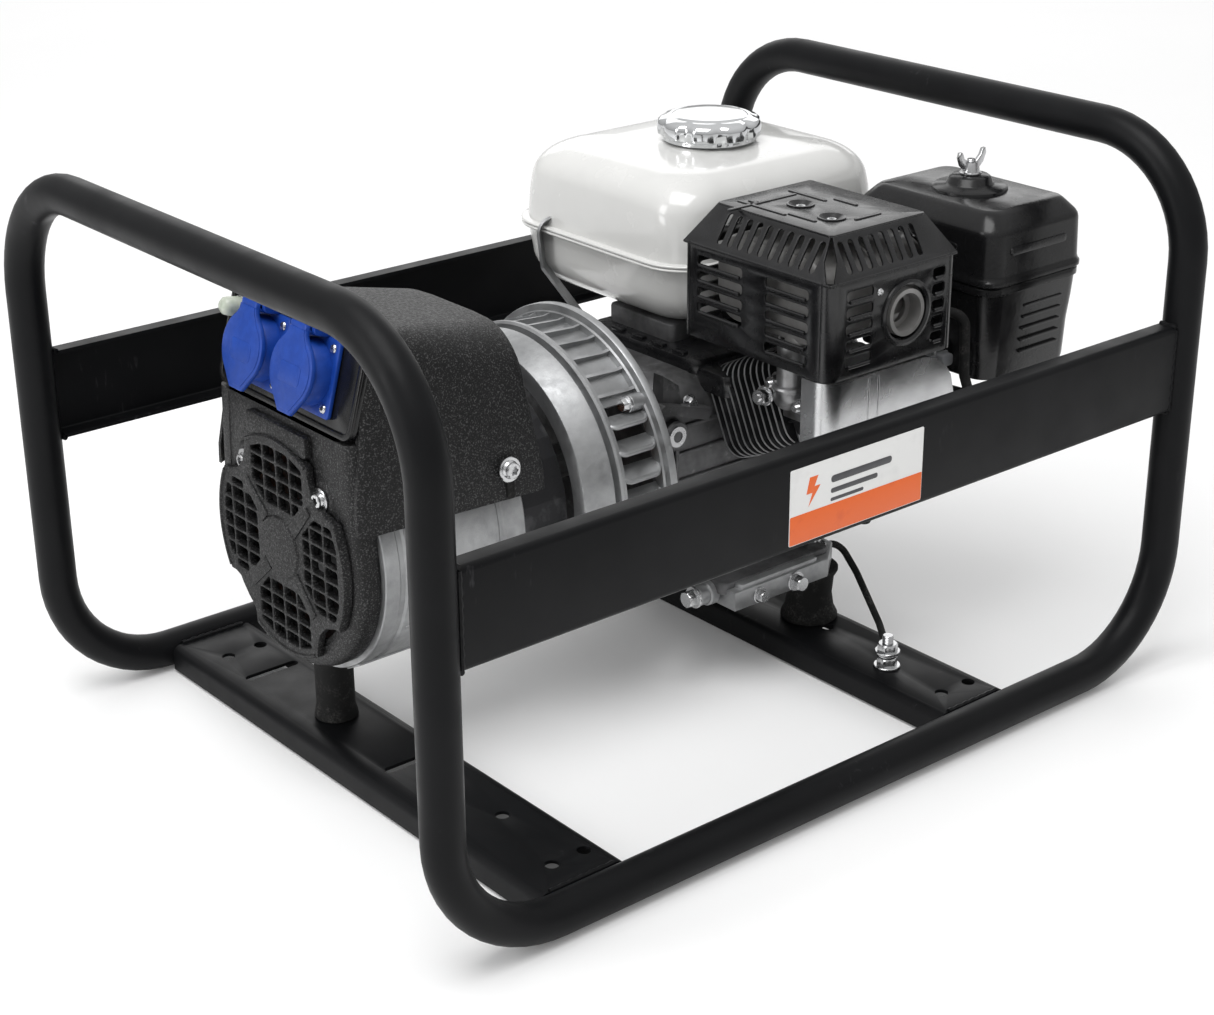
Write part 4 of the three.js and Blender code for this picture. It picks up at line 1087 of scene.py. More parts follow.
def panel_frame():
    """Drawn flat: X to the viewer's right, Y up the panel, Z out of its face."""
    low, high = span("socket_panel")
    up = Vector((math.sin(PANEL_TILT), 0, math.cos(PANEL_TILT)))
    place = Matrix((-Y, up, (-Y).cross(up))).transposed().to_4x4()
    place.translation = (low.x, (low.y + high.y) / 2, low.z + PANEL_THICK * math.sin(PANEL_TILT))
    return place


SOCKETS = {"left": -28.5, "right": 28.5}
SOCKET_Y = 33
BUTTON = (-61, 52)


def socket_panel():
    place = panel_frame()
    holes = [circle(x, SOCKET_Y, 19.4, 40) for x in SOCKETS.values()]
    holes += [circle(*BUTTON, 6.8, 20), circle(BUTTON[0], 25, 5.6, 20)]
    shape = Shape().plate(rounded((-77, 77), (0, 72), 8, 6), (-PANEL_THICK, 0), holes, 0.8, place)
    shape.plate(
        rounded((-77, 77), (0, 72), 8, 6), (-1, 1.5), [rounded((-73, 73), (3.5, 69), 6, 6)], 0.7, place,
    )
    shape.turn([(7.6, -3), (7.6, 1), (6.8, 2.2), (3.5, 2.6), (1, 2.6)], 28, place @ move(BUTTON[0], 25))
    piece(shape, "socket_panel_glossy", "gloss_plastic", stands_for=("socket_panel",))


def sockets():
    place = panel_frame()
    screws = Shape()
    contacts = Shape()
    for name, x in SOCKETS.items():
        at = place @ move(x, SOCKET_Y)
        shape = Shape().plate(around(0, 0, 50, 50, 3), (0.3, 3.3), [circle(0, 0, 18.4, 40)], 0.9, at)
        shape.hoop(
            [
                (17.6, -25), (18.9, -25), (18.9, 2), (21.5, 3), (21.5, 13.6), (20.6, 14.9), (18.6, 14.9),
                (17.6, 14),
            ],
            48, at,
        )
        shape.turn([(18.8, -30), (18.8, -25.2), (17, -25), (6, -25), (1, -25)], 32, at)
        shape.block((-9, 9), (24, 33.5), (0.3, 7), 1.2, at)
        for side in (-1, 1):
            shape.rod(at @ Vector((side * 9.2, 29, 11)), at @ Vector((side * 12.4, 29, 11)), 4.2, 20)
            shape.block(tuple(sorted((side * 9.4, side * 12))), (24.6, 32), (2.4, 11), 0.6, at)
            screws.cross_screw(at @ move(side * 19, 19, 3.3), 2.9, 1.3)
            screws.cross_screw(at @ move(side * 19, -19, 3.3), 2.9, 1.3)
            contacts.turn([(3, -26), (3, -24.8), (2, -24.6), (1.2, -24.6)], 16, at @ move(side * 9.5, 0))
            contacts.block((-2, 2), (side * 16.5 - 1, side * 16.5 + 1), (-24, -6), 0.4, at)
        piece(shape, f"socket_{name}_moulded", "socket_blue", stands_for=(f"socket_{name}",))
    piece(screws, "socket_screws", "zinc_steel")
    piece(contacts, "socket_contacts", "steel")


def lid_outline(k=1.0):
    """A teardrop: a neck under the hinge, a round middle and a cut-off point."""
    right = [
        (9 * k, 27), (9.6 * k, 23.5), (12 * k, 20.2), *arc(0, 0, 23.2 * k, 52, -42, 12),
        (7.6 * k, -26.6 * k), (6.6 * k, -27.4 * k),
    ]
    return right + [(-x, y) for x, y in right[::-1]]


def socket_lids():
    place = panel_frame()
    for name, x in SOCKETS.items():
        at = place @ move(x, SOCKET_Y)
        shape = Shape().plate(lid_outline(), (15.5, 19.2), (), 1.1, at)
        shape.plate(lid_outline(0.9), (18.8, 19.7), (), 0.4, at)
        shape.plate(around(0, -2, 24, 13, 3), (19.4, 20.0), (), 0.3, at)
        shape.block((-9, 9), (24.5, 31.8), (12.4, 19.2), 1.8, at, 2)
        for a, b, r in ((-9, -3.2, 4.8), (-3, 3, 4.4), (3.2, 9, 4.8)):
            shape.rod(at @ Vector((a, 29, 12)), at @ Vector((b, 29, 12)), r, 24)
        piece(shape, f"socket_lid_{name}_moulded", "socket_blue", f"lid_{name}", (f"socket_lid_{name}",))


def breaker():
    at = panel_frame() @ move(*BUTTON)
    boot = Shape().turn(
        [(5.6, 3.6), (6.4, 4.2), (6.6, 7), (6.4, 9), (6.2, 13), (5.6, 15.8), (3.6, 17.8), (1, 18.3)], 32,
        at,
    )
    boot.turn([(3.6, -3.4), (3.6, 5)], 20, at)
    piece(boot, "breaker_boot", "boot_clear", "breaker_button", ("breaker_button",))
    ring = Shape().hoop([(6.75, 0.2), (7.45, 0.2), (7.45, 4.4), (7.2, 5), (6.75, 5)], 32, at)
    piece(ring, "breaker_ring", "zinc_steel")


# ---------------------------------------------------------------- engine block
def cylinder_frame():
    slant = math.radians(25)
    up = Vector((0, math.sin(slant), math.cos(slant)))
    out = Vector((0, -math.cos(slant), math.sin(slant)))
    place = Matrix((X, up, out)).transposed().to_4x4()
    place.translation = (100, AXIS.y, AXIS.z)
    return place


def cylinder():
    at = cylinder_frame()
    fins, edges = Shape(), Shape()
    fins.turn([(29, 84), (29, 154)], 32, at)
    for i in range(11):
        z = 84 + 6.4 * i
        outline = around(0, 0, 69, 69 - 0.5 * abs(i - 5), 15, 6)
        fins.plate(outline, (z, z + 1.9), (), 0.4, at)
        edges.plate(grown(outline, 0.45), (z + 0.3, z + 1.6), [grown(outline, -0.8)], 0.2, at)
    fins.block((-31, 31), (-29, 29), (153, 168), 3, at, 8)
    for i in range(5):
        fins.block((-33, 33), (-31 + i * 15, -29.4 + i * 15), (152, 166), 0.5, at, 0.6)
    piece(fins, "cylinder_fins", "fin_black", stands_for=("cylinder",))
    for side in (-1, 1):
        edges.block((side * 24 - 3, side * 24 + 3), (-31, 31), (150, 153), 0.8, at)
    piece(edges, "fin_edges", "cast_aluminium")
    cover = Shape().plate(around(0, 0, 60, 54, 9), (168.3, 172), (), 0.8, at)
    cover.plate(around(0, 0, 54, 48, 11), (171, 188), (), 4, at)
    for i in range(4):
        cover.block((-20, 20), (-16 + i * 10, -13.5 + i * 10), (187, 188.6), 0.6, at)
    piece(cover, "valve_cover_pressed", "cast_aluminium", stands_for=("valve_cover",))
    nuts = Shape()
    for x in (-25, 25):
        for y in (-21, 21):
            nuts.bolt(at @ move(x, y, 168), 8, 5, 0, 3)
    nuts.bolt(spot((66, -78, 222), (-1, -0.2, 0.1)), 10, 7, 7, 3)
    piece(nuts, "cylinder_nuts", "zinc_steel")
    plug = Shape().rod(at @ Vector((-12, -29, 161)), at @ Vector((-12, -44, 161)), 4.6, 20)
    plug.hexagon(at @ move(-12, -29.5, 161) @ turned(90, "X"), 15, 0, 7)
    piece(plug, "spark_plug_turned", "zinc_steel", stands_for=("spark_plug",))
    lead = Shape().turn(
        [(7, 0), (8, 1), (8, 14), (6.4, 16), (6.4, 20), (5, 22)], 24,
        at @ move(-12, -44.4, 161) @ turned(90, "X"),
    )
    path = bent(
        [at @ Vector(p) for p in ((-12, -60, 161), (-12, -74, 150), (8, -74, 120), (34, -62, 84))], 9, 6,
    )
    lead.sweep(path, 3.4)
    piece(lead, "ignition_lead_bent", "rubber", stands_for=("ignition_lead",))


def crankcase():
    low, high = span("crankcase")
    shape = Shape()
    yz = lambda x0: (lambda v: Vector((x0 + v.z, v.x, v.y)))
    shape.plate(
        rounded((-22, 112), (80, 222), 22, 6), (0, 128), [circle(AXIS.y, AXIS.z, 12.6, 24)], 5, yz(21),
    )
    shape.hoop(
        [(14, 0), (84, 0), (86, 1.5), (86, 18), (83, 20.5), (60, 22), (14, 22)], 72,
        spot((low.x, AXIS.y, AXIS.z), X, Z),
    )
    shape.block((45, 150), (low.y, high.y), (low.z, low.z + 9), 1.6, None, 6)
    shape.block((50, 140), (-40, 130), (low.z + 4, low.z + 22), 4, None, 8)
    shape.block((72, 92), (25, 95), (215, high.z), 2, None, 5)
    for i in range(12):
        a = 30 * i + 15
        c, s = math.cos(math.radians(a)), math.sin(math.radians(a))
        rib = [(10, 60), (24, 79), (24, 60)]
        shape.loft(
            [
                [Vector((x, AXIS.y + r * c - off * s, AXIS.z + r * s + off * c)) for x, r in rib]
                for off in (-1.5, 1.5)
            ]
        )
    for z in (108, 128, 148, 168, 188):
        shape.block((34, 136), (-24.4, -20), (z, z + 3), 1, None, 1.2)
    for x in (34, 136):
        shape.block((x - 2, x + 2), (-26, -20), (96, 206), 1.4, None, 1.6)
    shape.rod((26, -14, 189), (26, -34, 189), 11, 32, 1.4)
    shape.loft(
        [
            [(20, -16, 232), (34, -16, 222), (34, -26, 222), (20, -26, 232)],
            [(16, -16, 176), (38, -16, 182), (38, -30, 182), (16, -30, 176)],
        ]
    )
    shape.loft(
        [
            [(4, -38, 212), (12, -38, 216), (12, -30, 216), (4, -30, 212)],
            [(58, -30, 192), (62, -30, 200), (62, -20, 200), (58, -20, 192)],
        ]
    )
    piece(shape, "crankcase_cast", None, stands_for=("crankcase",), smooth=34, finish=dark_cast())
    cowl = Shape().block((58, 149), (-14, 104), (214, 231), 5, None, 12)
    cowl.block((62, 146), (-44, -8), (208, 226), 5, None, 8)
    for k in range(4):
        cowl.block((60, 66), (22 * k, 12 + 22 * k), (229, 233), 1, None, 1.5)
    piece(cowl, "engine_top_cowl", "black_enamel")
    screws = Shape()
    for i in range(8):
        a = math.radians(45 * i + 22)
        screws.bolt(spot((22.3, AXIS.y + 70 * math.cos(a), AXIS.z + 70 * math.sin(a)), X), 8, 5, 0)
    screws.hoop([(4, 0), (7.4, 0), (7.4, 0.9), (4, 0.9)], 24, spot((26, -34, 189), -Y))
    for x, z in ((80, 94), (46, 206), (128, 206)):
        screws.bolt(spot((x, -22, z), -Y), 8, 4.5, 6)
    piece(screws, "crankcase_bolts", "zinc_steel")


OUTLET = (117, 289)  # the muffler outlet's centre in X and Z, seen from the near side
GUARD_SCREWS = ((100, -72), (93, -108))


def exhaust():
    low, high = span("exhaust_pipe")
    cx = low.x + 9
    shape = Shape().sweep(
        bent([(cx + 5, -100, 227), (cx, -108, 236), (cx, -108, high.z)], 8, 6), 9.6, sides=28,
    )
    shape.plate(around(-1, 0, 31, 24, 7), (0, 7), (), 1.2, spot((70, -108, 230), -X, Z))
    shape.block((high.x - 6, high.x), (-121, -96), (low.z, high.z - 22), 1.5, None, 3)
    piece(shape, "exhaust_pipe_bent", "steel", stands_for=("exhaust_pipe",))
    weld = Shape()
    ring = [Vector((cx + 10.4 * math.cos(a), -108 + 10.4 * math.sin(a), 238)) for a in whole_turn(36)]
    bead(weld, ring, 2, True)
    piece(weld, "exhaust_weld", "steel")
    nuts = Shape()
    for y, z in ((-121, 228), (-95, 238)):
        nuts.bolt(spot((62, y, z), -X, Z), 9, 6, 6.5, 4)
    piece(nuts, "exhaust_nuts", "zinc_steel")
    low, high = span("muffler")
    can = Shape()
    outline = rounded((-140, -35), (269, 330), 21, 8)
    yz = lambda v: Vector((v.z, v.x, v.y))
    can.plate(outline, (58, 152), (), 5, yz)
    can.plate(grown(outline, 1.6), (102, 105), (), 1, yz)
    can.turn([(12, low.z), (12, 275)], 24, move(70, -108))
    outlet = spot((OUTLET[0], low.y, OUTLET[1]), Y, Z)
    can.hoop([(13, 0), (16, 0), (16, 17), (13, 17)], 40, outlet)
    can.hoop([(9, 10), (13.2, 10), (13.2, 11), (9, 11)], 32, outlet)
    piece(can, "muffler_can", None, stands_for=("muffler",), finish=bare_sheet())


def wall_sheet(path, low, top, thick):
    """An upright sheet along a plan path; top(i, point) gives its height."""
    rings = []
    for i, p in enumerate(path):
        ahead = path[min(i + 1, len(path) - 1)]
        behind = path[max(i - 1, 0)]
        d = (ahead - behind).normalized()
        side = Vector((-d.y, d.x, 0)) * thick
        z1 = top(p)
        rings.append(
            [
                Vector((p.x, p.y, low)), Vector((p.x, p.y, z1)), Vector((*(p + side).xy, z1)),
                Vector((*(p + side).xy, low)),
            ]
        )
    return rings


def head_cowl():
    low, high = span("head_cowl")
    corners = [(low.x, -128, 0), (low.x, low.y, 0), (high.x, low.y, 0)]
    path = bent(corners, 13, 10)
    far = path[-1]
    path = path[:-1] + [path[-2].lerp(far, k / 24) for k in range(1, 25)]
    r = 36

    def top(p):
        past = p.x - (high.x - r)
        return high.z - (r - math.sqrt(max(0, r * r - past * past)) if past > 0 and p.y < low.y + 1 else 0)

    shape = Shape().loft(wall_sheet(path, low.z, top, 1.5))
    roof = []
    for p in path[11:]:
        z = top(p)
        roof.append(
            [
                (p.x, low.y + 0.8, z - 0.2), (p.x, low.y + 0.8, z - 1.6), (p.x, -132, z - 1.6),
                (p.x, -132, z - 0.2),
            ]
        )
    shape.loft(roof)
    for x in (88, 97):
        shape.rod((x, low.y + 0.4, low.z + 1), (x, low.y + 0.4, high.z - 2), 1.0, 10)
    piece(shape, "head_cowl_sheet", "zinc_steel", stands_for=("head_cowl",), smooth=40)


def muffler_guard():
    low, high = span("muffler_guard")
    shoulder, inset, t = 320, 17, 1.7
    x0, x1, y0, y1 = low.x, high.x, low.y, high.y
    r = 8
    shape = Shape()
    lips = Shape()
    walls = {
        "near_x": (Matrix(((0, 0, -1, x0 + t), (1, 0, 0, 0), (0, 1, 0, 0), (0, 0, 0, 1))), (y0 + r, y1 - r)),
        "far_x": (Matrix(((0, 0, 1, x1 - t), (1, 0, 0, 0), (0, 1, 0, 0), (0, 0, 0, 1))), (y0 + r, y1 - r)),
        "near_y": (Matrix(((1, 0, 0, 0), (0, 0, -1, y0 + t), (0, 1, 0, 0), (0, 0, 0, 1))), (x0 + r, x1 - r)),
        "far_y": (Matrix(((1, 0, 0, 0), (0, 0, 1, y1 - t), (0, 1, 0, 0), (0, 0, 0, 1))), (x0 + r, x1 - r)),
    }
    for name, (place, (a, b)) in walls.items():
        holes = []
        for row in range(5):
            z = low.z + 11 + row * 11
            if name.endswith("x"):
                runs = ((a + 31, 40), (b - 29, 44)) if row else ((a + 31, 40),)
            elif name == "near_y":
                runs = ((a + 20, 24), (b - 10, 12))
            else:
                runs = ((a + 25, 36), (b - 25, 36))
            for u, length in runs:
                holes.append(around(u, z, length, 7, 2.4, 3))
                ends = [place @ Vector((u + k * (length / 2 - 2.4), z - 3.4, t + 0.2)) for k in (-1, 1)]
                lips.rod(*ends, 1.5, 12)
        if name == "near_y":
            holes.append(circle(*OUTLET, 18.6, 48))
            holes.append(circle(91.5, 308, 1.6, 12))
        shape.plate(rounded((a, b), (low.z, shoulder), 0.6, 1), (0, t), holes, 0.4, place)
    for cx, cy, start in (
        (x0 + r, y0 + r, 180), (x1 - r, y0 + r, 270), (x1 - r, y1 - r, 0), (x0 + r, y1 - r, 90),
    ):
        shape.hoop(
            [(r - t, low.z), (r, low.z), (r, shoulder + 1), (r - t, shoulder + 1)], 8, move(cx, cy), start,
            start + 90,
        )
    slope = math.hypot(inset, high.z - shoulder)
    edges = (
        (Vector((x0, (y0 + y1) / 2, shoulder)), -Y, (y1 - y0) / 2, 10, 9.6),
        (Vector(((x0 + x1) / 2, y0, shoulder)), X, (x1 - x0) / 2, 8, 9.2),
        (Vector((x1, (y0 + y1) / 2, shoulder)), Y, (y1 - y0) / 2, 10, 9.6),
        (Vector(((x0 + x1) / 2, y1, shoulder)), -X, (x1 - x0) / 2, 8, 9.2),
    )
    for index, (middle, along, half, count, pitch) in enumerate(edges):
        inward = Z.cross(along)
        up = (inward * inset + Z * (high.z - shoulder)).normalized()
        place = Matrix((along, up, along.cross(up))).transposed().to_4x4()
        place.translation = middle - place.col[2].to_3d() * t
        left = 0.3 if index != 1 else 4
        right = 0.3 if index != 0 else 4
        belly = lambda gap: gap + inset * 0.45 + (2.4 if gap > 1 else 0)
        outline = [
            (-half + left, 0), (half - right, 0), (half - belly(right), slope * 0.45),
            (half - inset - right * 0.25, slope),
        ]
        outline += [(-half + inset + left * 0.25, slope), (-half + belly(left), slope * 0.45)]
        aside = (6, -6, 0, 0)[index]
        holes = [
            around(aside + (k - (count - 1) / 2) * pitch, slope * 0.5, 4.8, slope - 10, 2.3, 4)
            for k in range(count)
        ]
        holes = [h for h in holes if max(abs(p[0]) for p in h) < half - inset * 0.5 - 4]
        shape.plate(outline, (0, t), holes, 0.4, place)
        shape.rod(
            middle - along * (half - 1) + inward * 0.9, middle + along * (half - 1) + inward * 0.9, 1.1, 12,
        )
    top_holes = [circle(x, y, 7.4, 32) for x, y in GUARD_SCREWS]
    shape.plate(
        rounded((x0 + inset - 1, x1 - inset + 1), (y0 + inset - 1, y1 - inset + 1), 3),
        (high.z - t, high.z), top_holes, 0.5,
    )
    for x, y, length, angle in (
        (80, -48, 10, 90), (74, -62, 46, 90), (84, -52, 62, 0), (118, -60, 36, 90), (126, -88, 22, 90),
        (112, -122, 24, 0), (78, -96, 26, 90),
    ):
        shape.plate(
            around(0, 0, length, 3.4, 1.6), (high.z - 0.6, high.z + 0.8), (), 0.6,
            move(x, y) @ turned(angle),
        )
    for x, y in GUARD_SCREWS:
        shape.hoop(
            [
                (3, high.z - 4), (7.6, high.z - 1.4), (9.4, high.z - 0.2), (9.4, high.z + 0.7),
                (8.2, high.z + 0.9), (6.6, high.z - 0.2), (3, high.z - 2.8),
            ],
            36, move(x, y),
        )
    ring = spot((OUTLET[0], y0 + 0.4, OUTLET[1]), -Y, Z)
    shape.hoop([(18.2, -1.5), (18.6, 0.8), (20.4, 1.9), (22.4, 1.4), (23, -0.4), (22, -1.5)], 56, ring)
    piece(shape, "muffler_guard_sheet", "black_enamel", stands_for=("muffler_guard",), smooth=40)
    piece(lips, "muffler_guard_lips", "black_enamel", smooth=40)
    screws = Shape()
    for x, y in GUARD_SCREWS:
        screws.star_screw(move(x, y, high.z - 4.2), 3.4, 1.6, 5.4)
    screws.cross_screw(spot((91.5, y0, 308), -Y, Z), 2.6, 1.2)
    piece(screws, "muffler_guard_screws", "zinc_steel")


# ---------------------------------------------------------------- fuel tank
def box_ring(low, high, inset, z, r, steps=7):
    """A level ring inset from the box low..high, with corners of radius r."""
    x = (low.x + inset, high.x - inset)
    y = (low.y + inset, high.y - inset)
    return [(*p, z) for p in rounded(x, y, r, steps)]


def tank_ring(low, high, inset, z, r):
    return box_ring(low, high, inset, z, max(r - 0.45 * inset, 9), 9)


def fuel_tank():
    low, high = span("fuel_tank_upper", "fuel_tank_lower")
    lip = 5
    low, high = low + Vector((lip, lip, 0)), high - Vector((lip, lip, 5))
    seam = 290
    upper = [
        tank_ring(low, high, 0, seam + 0.2, 34), tank_ring(low, high, 0.3, seam + 12, 34),
        tank_ring(low, high, 1.4, seam + 27, 34),
    ]
    r = 27
    for k in range(1, 11):
        a = math.radians(9 * k)
        upper.append(
            tank_ring(low, high, 2 + (r + 5) * (1 - math.cos(a)), high.z - 3 - r + r * math.sin(a), 36)
        )
    upper += [tank_ring(low, high, 48, high.z - 1.2, 34), tank_ring(low, high, 66, high.z - 0.2, 34)]
    shape = Shape().loft(upper)
    flange = [(low.x - lip, high.x + lip), (low.y - lip, high.y + lip)]
    shape.plate(rounded(*flange, 38, 9), (seam + 0.2, seam + 2.4), (), 0.9)
    cap_low, cap_high = span("fuel_cap")
    cx, cy = (cap_low.x + cap_high.x) / 2, (cap_low.y + cap_high.y) / 2
    shape.turn(
        [(33, high.z - 3), (30, high.z - 0.6), (26, high.z + 1), (24.5, high.z + 3), (24, high.z + 5)], 40,
        move(cx, cy),
    )
    piece(shape, "fuel_tank_top", "tank_white", stands_for=("fuel_tank_upper",), smooth=50)
    lower = [tank_ring(low, high, 62, low.z + 0.6, 34), tank_ring(low, high, 42, low.z, 34)]
    for k in range(0, 9):
        a = math.radians(10 + 10 * k)
        lower.append(
            tank_ring(low, high, 1.5 + 36 * (1 - math.sin(a)), low.z + 0.4 + 30 * (1 - math.cos(a)), 36)
        )
    lower += [tank_ring(low, high, 0.6, low.z + 40, 34), tank_ring(low, high, 0, seam - 0.2, 34)]
    shape = Shape().loft(lower)
    shape.plate(rounded(*flange, 38, 9), (seam - 2.4, seam - 0.2), (), 0.9)
    piece(shape, "fuel_tank_bottom", "tank_white", stands_for=("fuel_tank_lower",), smooth=50)
    x, y = low.x - 2, 150
    corners = [(x + 4, y, seam + 3.4), (x - 5, y, seam + 3.4), (x - 1, y, 262), (x + 14, y - 26, 226)]
    strap = Shape().sweep(bent(corners, 5, 5), [(-1, -8), (1, -8), (1, 8), (-1, 8)])
    piece(strap, "tank_strap", "cast_aluminium")


def fuel_cap():
    low, high = span("fuel_cap")
    cx, cy = (low.x + high.x) / 2, (low.y + high.y) / 2
    half = (high.x - low.x) / 2

    def ring(r, z, wave):
        points = []
        for i in range(128):
            a = 2 * math.pi * i / 128
            k = r + wave * (0.6 - (0.5 + 0.5 * math.cos(9 * a)) ** 3)
            points.append((k * math.cos(a), k * math.sin(a), z))
        return points

    z0, top = low.z, high.z
    skirt = (
        (5, 0, 0), (3.4, 1, 0), (3.4, 3.2, 0), (3, 4, 2), (1.6, 5, 2.6), (1.4, 11.5, 2.6), (2.2, 14.4, 2.6),
        (4.4, 16.2, 2.2),
    )
    crown = (
        (7, 2, 1.2), (8.6, 1.1, 0.4), (10, 1.6, 0), (11, 0.8, 0), (13, 0.2, 0), (24, 0, 0),
        (half - 2, 0, 0),
    )
    rings = [ring(half - inset, z0 + rise, wave) for inset, rise, wave in skirt]
    rings += [ring(half - inset, top - drop, wave) for inset, drop, wave in crown]
    piece(
        Shape().loft(rings, move(cx, cy)), "fuel_cap_fluted", "chrome", "fuel_cap", ("fuel_cap",),
        smooth=50,
    )


# ---------------------------------------------------------------- intake side
def air_cleaner():
    low, high = span("air_cleaner_cover")
    x, y = (low.x, high.x), (low.y, high.y)
    top = high.z - 10
    cx, cy = sum(x) / 2, sum(y) / 2

    def ring(inset, z):
        return box_ring(low, high, inset, z, max(15 - inset * 0.4, 6))

    rim_steps = ((3, 0), (1, 0.2), (0, 1.2), (0, 4), (1, 5.4), (1.6, 8))
    shoulder_steps = ((2.4, 15), (2.9, 12.4), (4.4, 9.8), (11, 2.6), (13.2, 0.8), (16, 0))
    rings = [ring(inset, low.z + rise) for inset, rise in rim_steps]
    rings += [ring(inset, top - drop) for inset, drop in shoulder_steps]
    shape = Shape().loft(rings)
    shape.turn(
        [
            (27, top - 1), (26.4, top + 1.6), (24.6, top + 2.8), (17.4, top + 3.4), (16, top + 4.6),
            (14.6, top + 8.4), (12.8, top + 9.7), (4, top + 10),
        ],
        48, move(cx, cy),
    )
    shape.plate(around(0, 0, 58, 6, 2.8), (0, 1.3), (), 0.6, spot((cx - 2, y[0] + 2.6, top - 26), -Y, Z))
    shape.plate(around(0, 0, 70, 5, 2.4), (0, 1.2), (), 0.6, spot((x[0] + 2.6, cy, top - 26), -X, Z))
    piece(shape, "air_cleaner_lid", "gloss_plastic", "cleaner_cover", ("air_cleaner_cover",), smooth=40)
    low, high = span("air_cleaner_base")
    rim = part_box("air_cleaner_cover")[0].z / MM - 0.3
    rings = []
    for inset, z in (
        (9, low.z), (5.5, low.z + 1), (5, low.z + 4), (4, low.z + 30), (2.2, low.z + 50), (1.4, rim - 6),
        (0, rim - 5), (0, rim - 1), (0.8, rim),
    ):
        rings.append(box_ring(low, high, inset, z, 15 - inset * 0.4))
    shape = Shape().loft(rings)
    for k in range(5):
        z = low.z + 17 + 8.5 * k
        shape.plate(
            around(0, 0, 40, 2, 0.9), (-2, 1), (), 0.5,
            spot((high.x - 42, low.y + 3.6 - k * 0.35, z), -Y, Z),
        )
        shape.plate(around(0, 0, 60, 2, 0.9), (-2, 1), (), 0.5, spot((high.x - 3.6 + k * 0.35, cy, z), X, Z))
    shape.rod((cx, cy, rim - 2), (cx, cy, high.z - 6), 3, 14)
    piece(
        shape, "air_cleaner_tray", "gloss_plastic", stands_for=("air_cleaner_base", "filter_element"),
        smooth=40,
    )
    low, high = span("wing_nut")
    cx, cy = (low.x + high.x) / 2, (low.y + high.y) / 2
    nut = Shape().turn(
        [
            (7.6, low.z), (7.8, low.z + 1), (6.6, low.z + 1.6), (5.8, low.z + 6), (4.8, low.z + 8.4),
            (3.2, low.z + 8.6),
        ],
        28, move(cx, cy),
    )
    for side in (-1, 1):
        wing = [
            (3, low.z + 1.5), (7, low.z + 3), (11.5, low.z + 7), (14, low.z + 13), (13, high.z),
            (10.4, high.z - 0.2), (8.4, high.z - 4.5), (3.4, low.z + 8),
        ]
        nut.plate(
            [(side * a, b) for a, b in wing], (-1.5, 1.5), (), 0.7,
            Matrix(((1, 0, 0, cx), (0, 0, 1, cy), (0, 1, 0, 0), (0, 0, 0, 1))),
        )
    piece(nut, "wing_nut_cast", "zinc_steel", "wing_nut", ("wing_nut",))
    z = low.z - 2
    profile = []
    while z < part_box("air_cleaner_base")[1].z / MM:
        profile += [(3, z), (2.6, z + 0.5)]
        z += 1
    piece(Shape().turn(profile, 16, move(cx, cy)), "cleaner_stud", "zinc_steel")


def carburettor():
    low, high = span("carburettor")
    y = -102
    shape = Shape().block((150, 190), (y - 15, y + 15), (207, 237), 3, None, 6)
    shape.turn([(10, 181), (13.4, 183), (14, 188), (14, 202), (12, 206)], 32, move(170, y))
    shape.rod((130.5, y, 224), (152, y, 224), 8.6, 28)
    shape.block((150, 154), (y - 21, y + 21), (213, 235), 1, None, 4)
    shape.block((186, 190), (y - 18, y + 18), (211, 237), 1, None, 4)
    shape.rod((189, y, 227), (high.x, y, 227), 11, 28)
    shape.rod((164, y - 14, 229), (164, y - 19, 229), 5, 20)
    shape.rod((178, y - 14, 218), (178, y - 18.5, 218), 4, 20)
    piece(shape, "carburettor_cast", "cast_aluminium", stands_for=("carburettor",))
    for name in ("choke_lever", "fuel_valve_lever"):
        low, high = span(name)
        z = (low.z + high.z) / 2
        px = low.x + 6
        at = facing_front(high.y)
        arm = [
            (px, z + 6), *arc(px, z, 6, 100, 260, 8), (px, z - 6), (high.x - 12, z - 3), (high.x, z - 4.4),
            (high.x, z + 4.4), (high.x - 12, z + 3),
        ]
        lever = Shape().plate(arm, (0, 3.4), (), 0.8, at)
        lever.plate(around(high.x - 6, z, 11, 8.6, 2.4), (1, high.y - low.y), (), 1, at)
        lever.turn([(3.6, 3), (3.6, 4.6), (2.4, 5.2)], 20, at @ move(px, z))
        piece(lever, name + "_moulded", "grey_plastic", name, (name,))
    hose = Shape().sweep(
        bent(
            [
                (186, -98, 200), (206, -106, 203), (206, -136, 205), (198, -137, 222), (197, -136, 264),
                (180, -108, 270), (168, -60, 252),
            ],
            9, 6,
        ),
        3.6,
    )
    piece(hose, "fuel_hose", "rubber")
    knob = Shape()
    profile = [(7, 0)]
    for k in range(5):
        profile += [(8.2, 1 + 3 * k), (8.2, 2.6 + 3 * k), (7, 3 + 3 * k), (7, 3.8 + 3 * k)]
    knob.turn(profile, 28, spot((171, -140, 202), (0.85, -0.35, 0.3)))
    piece(knob, "ribbed_boot", "rubber")


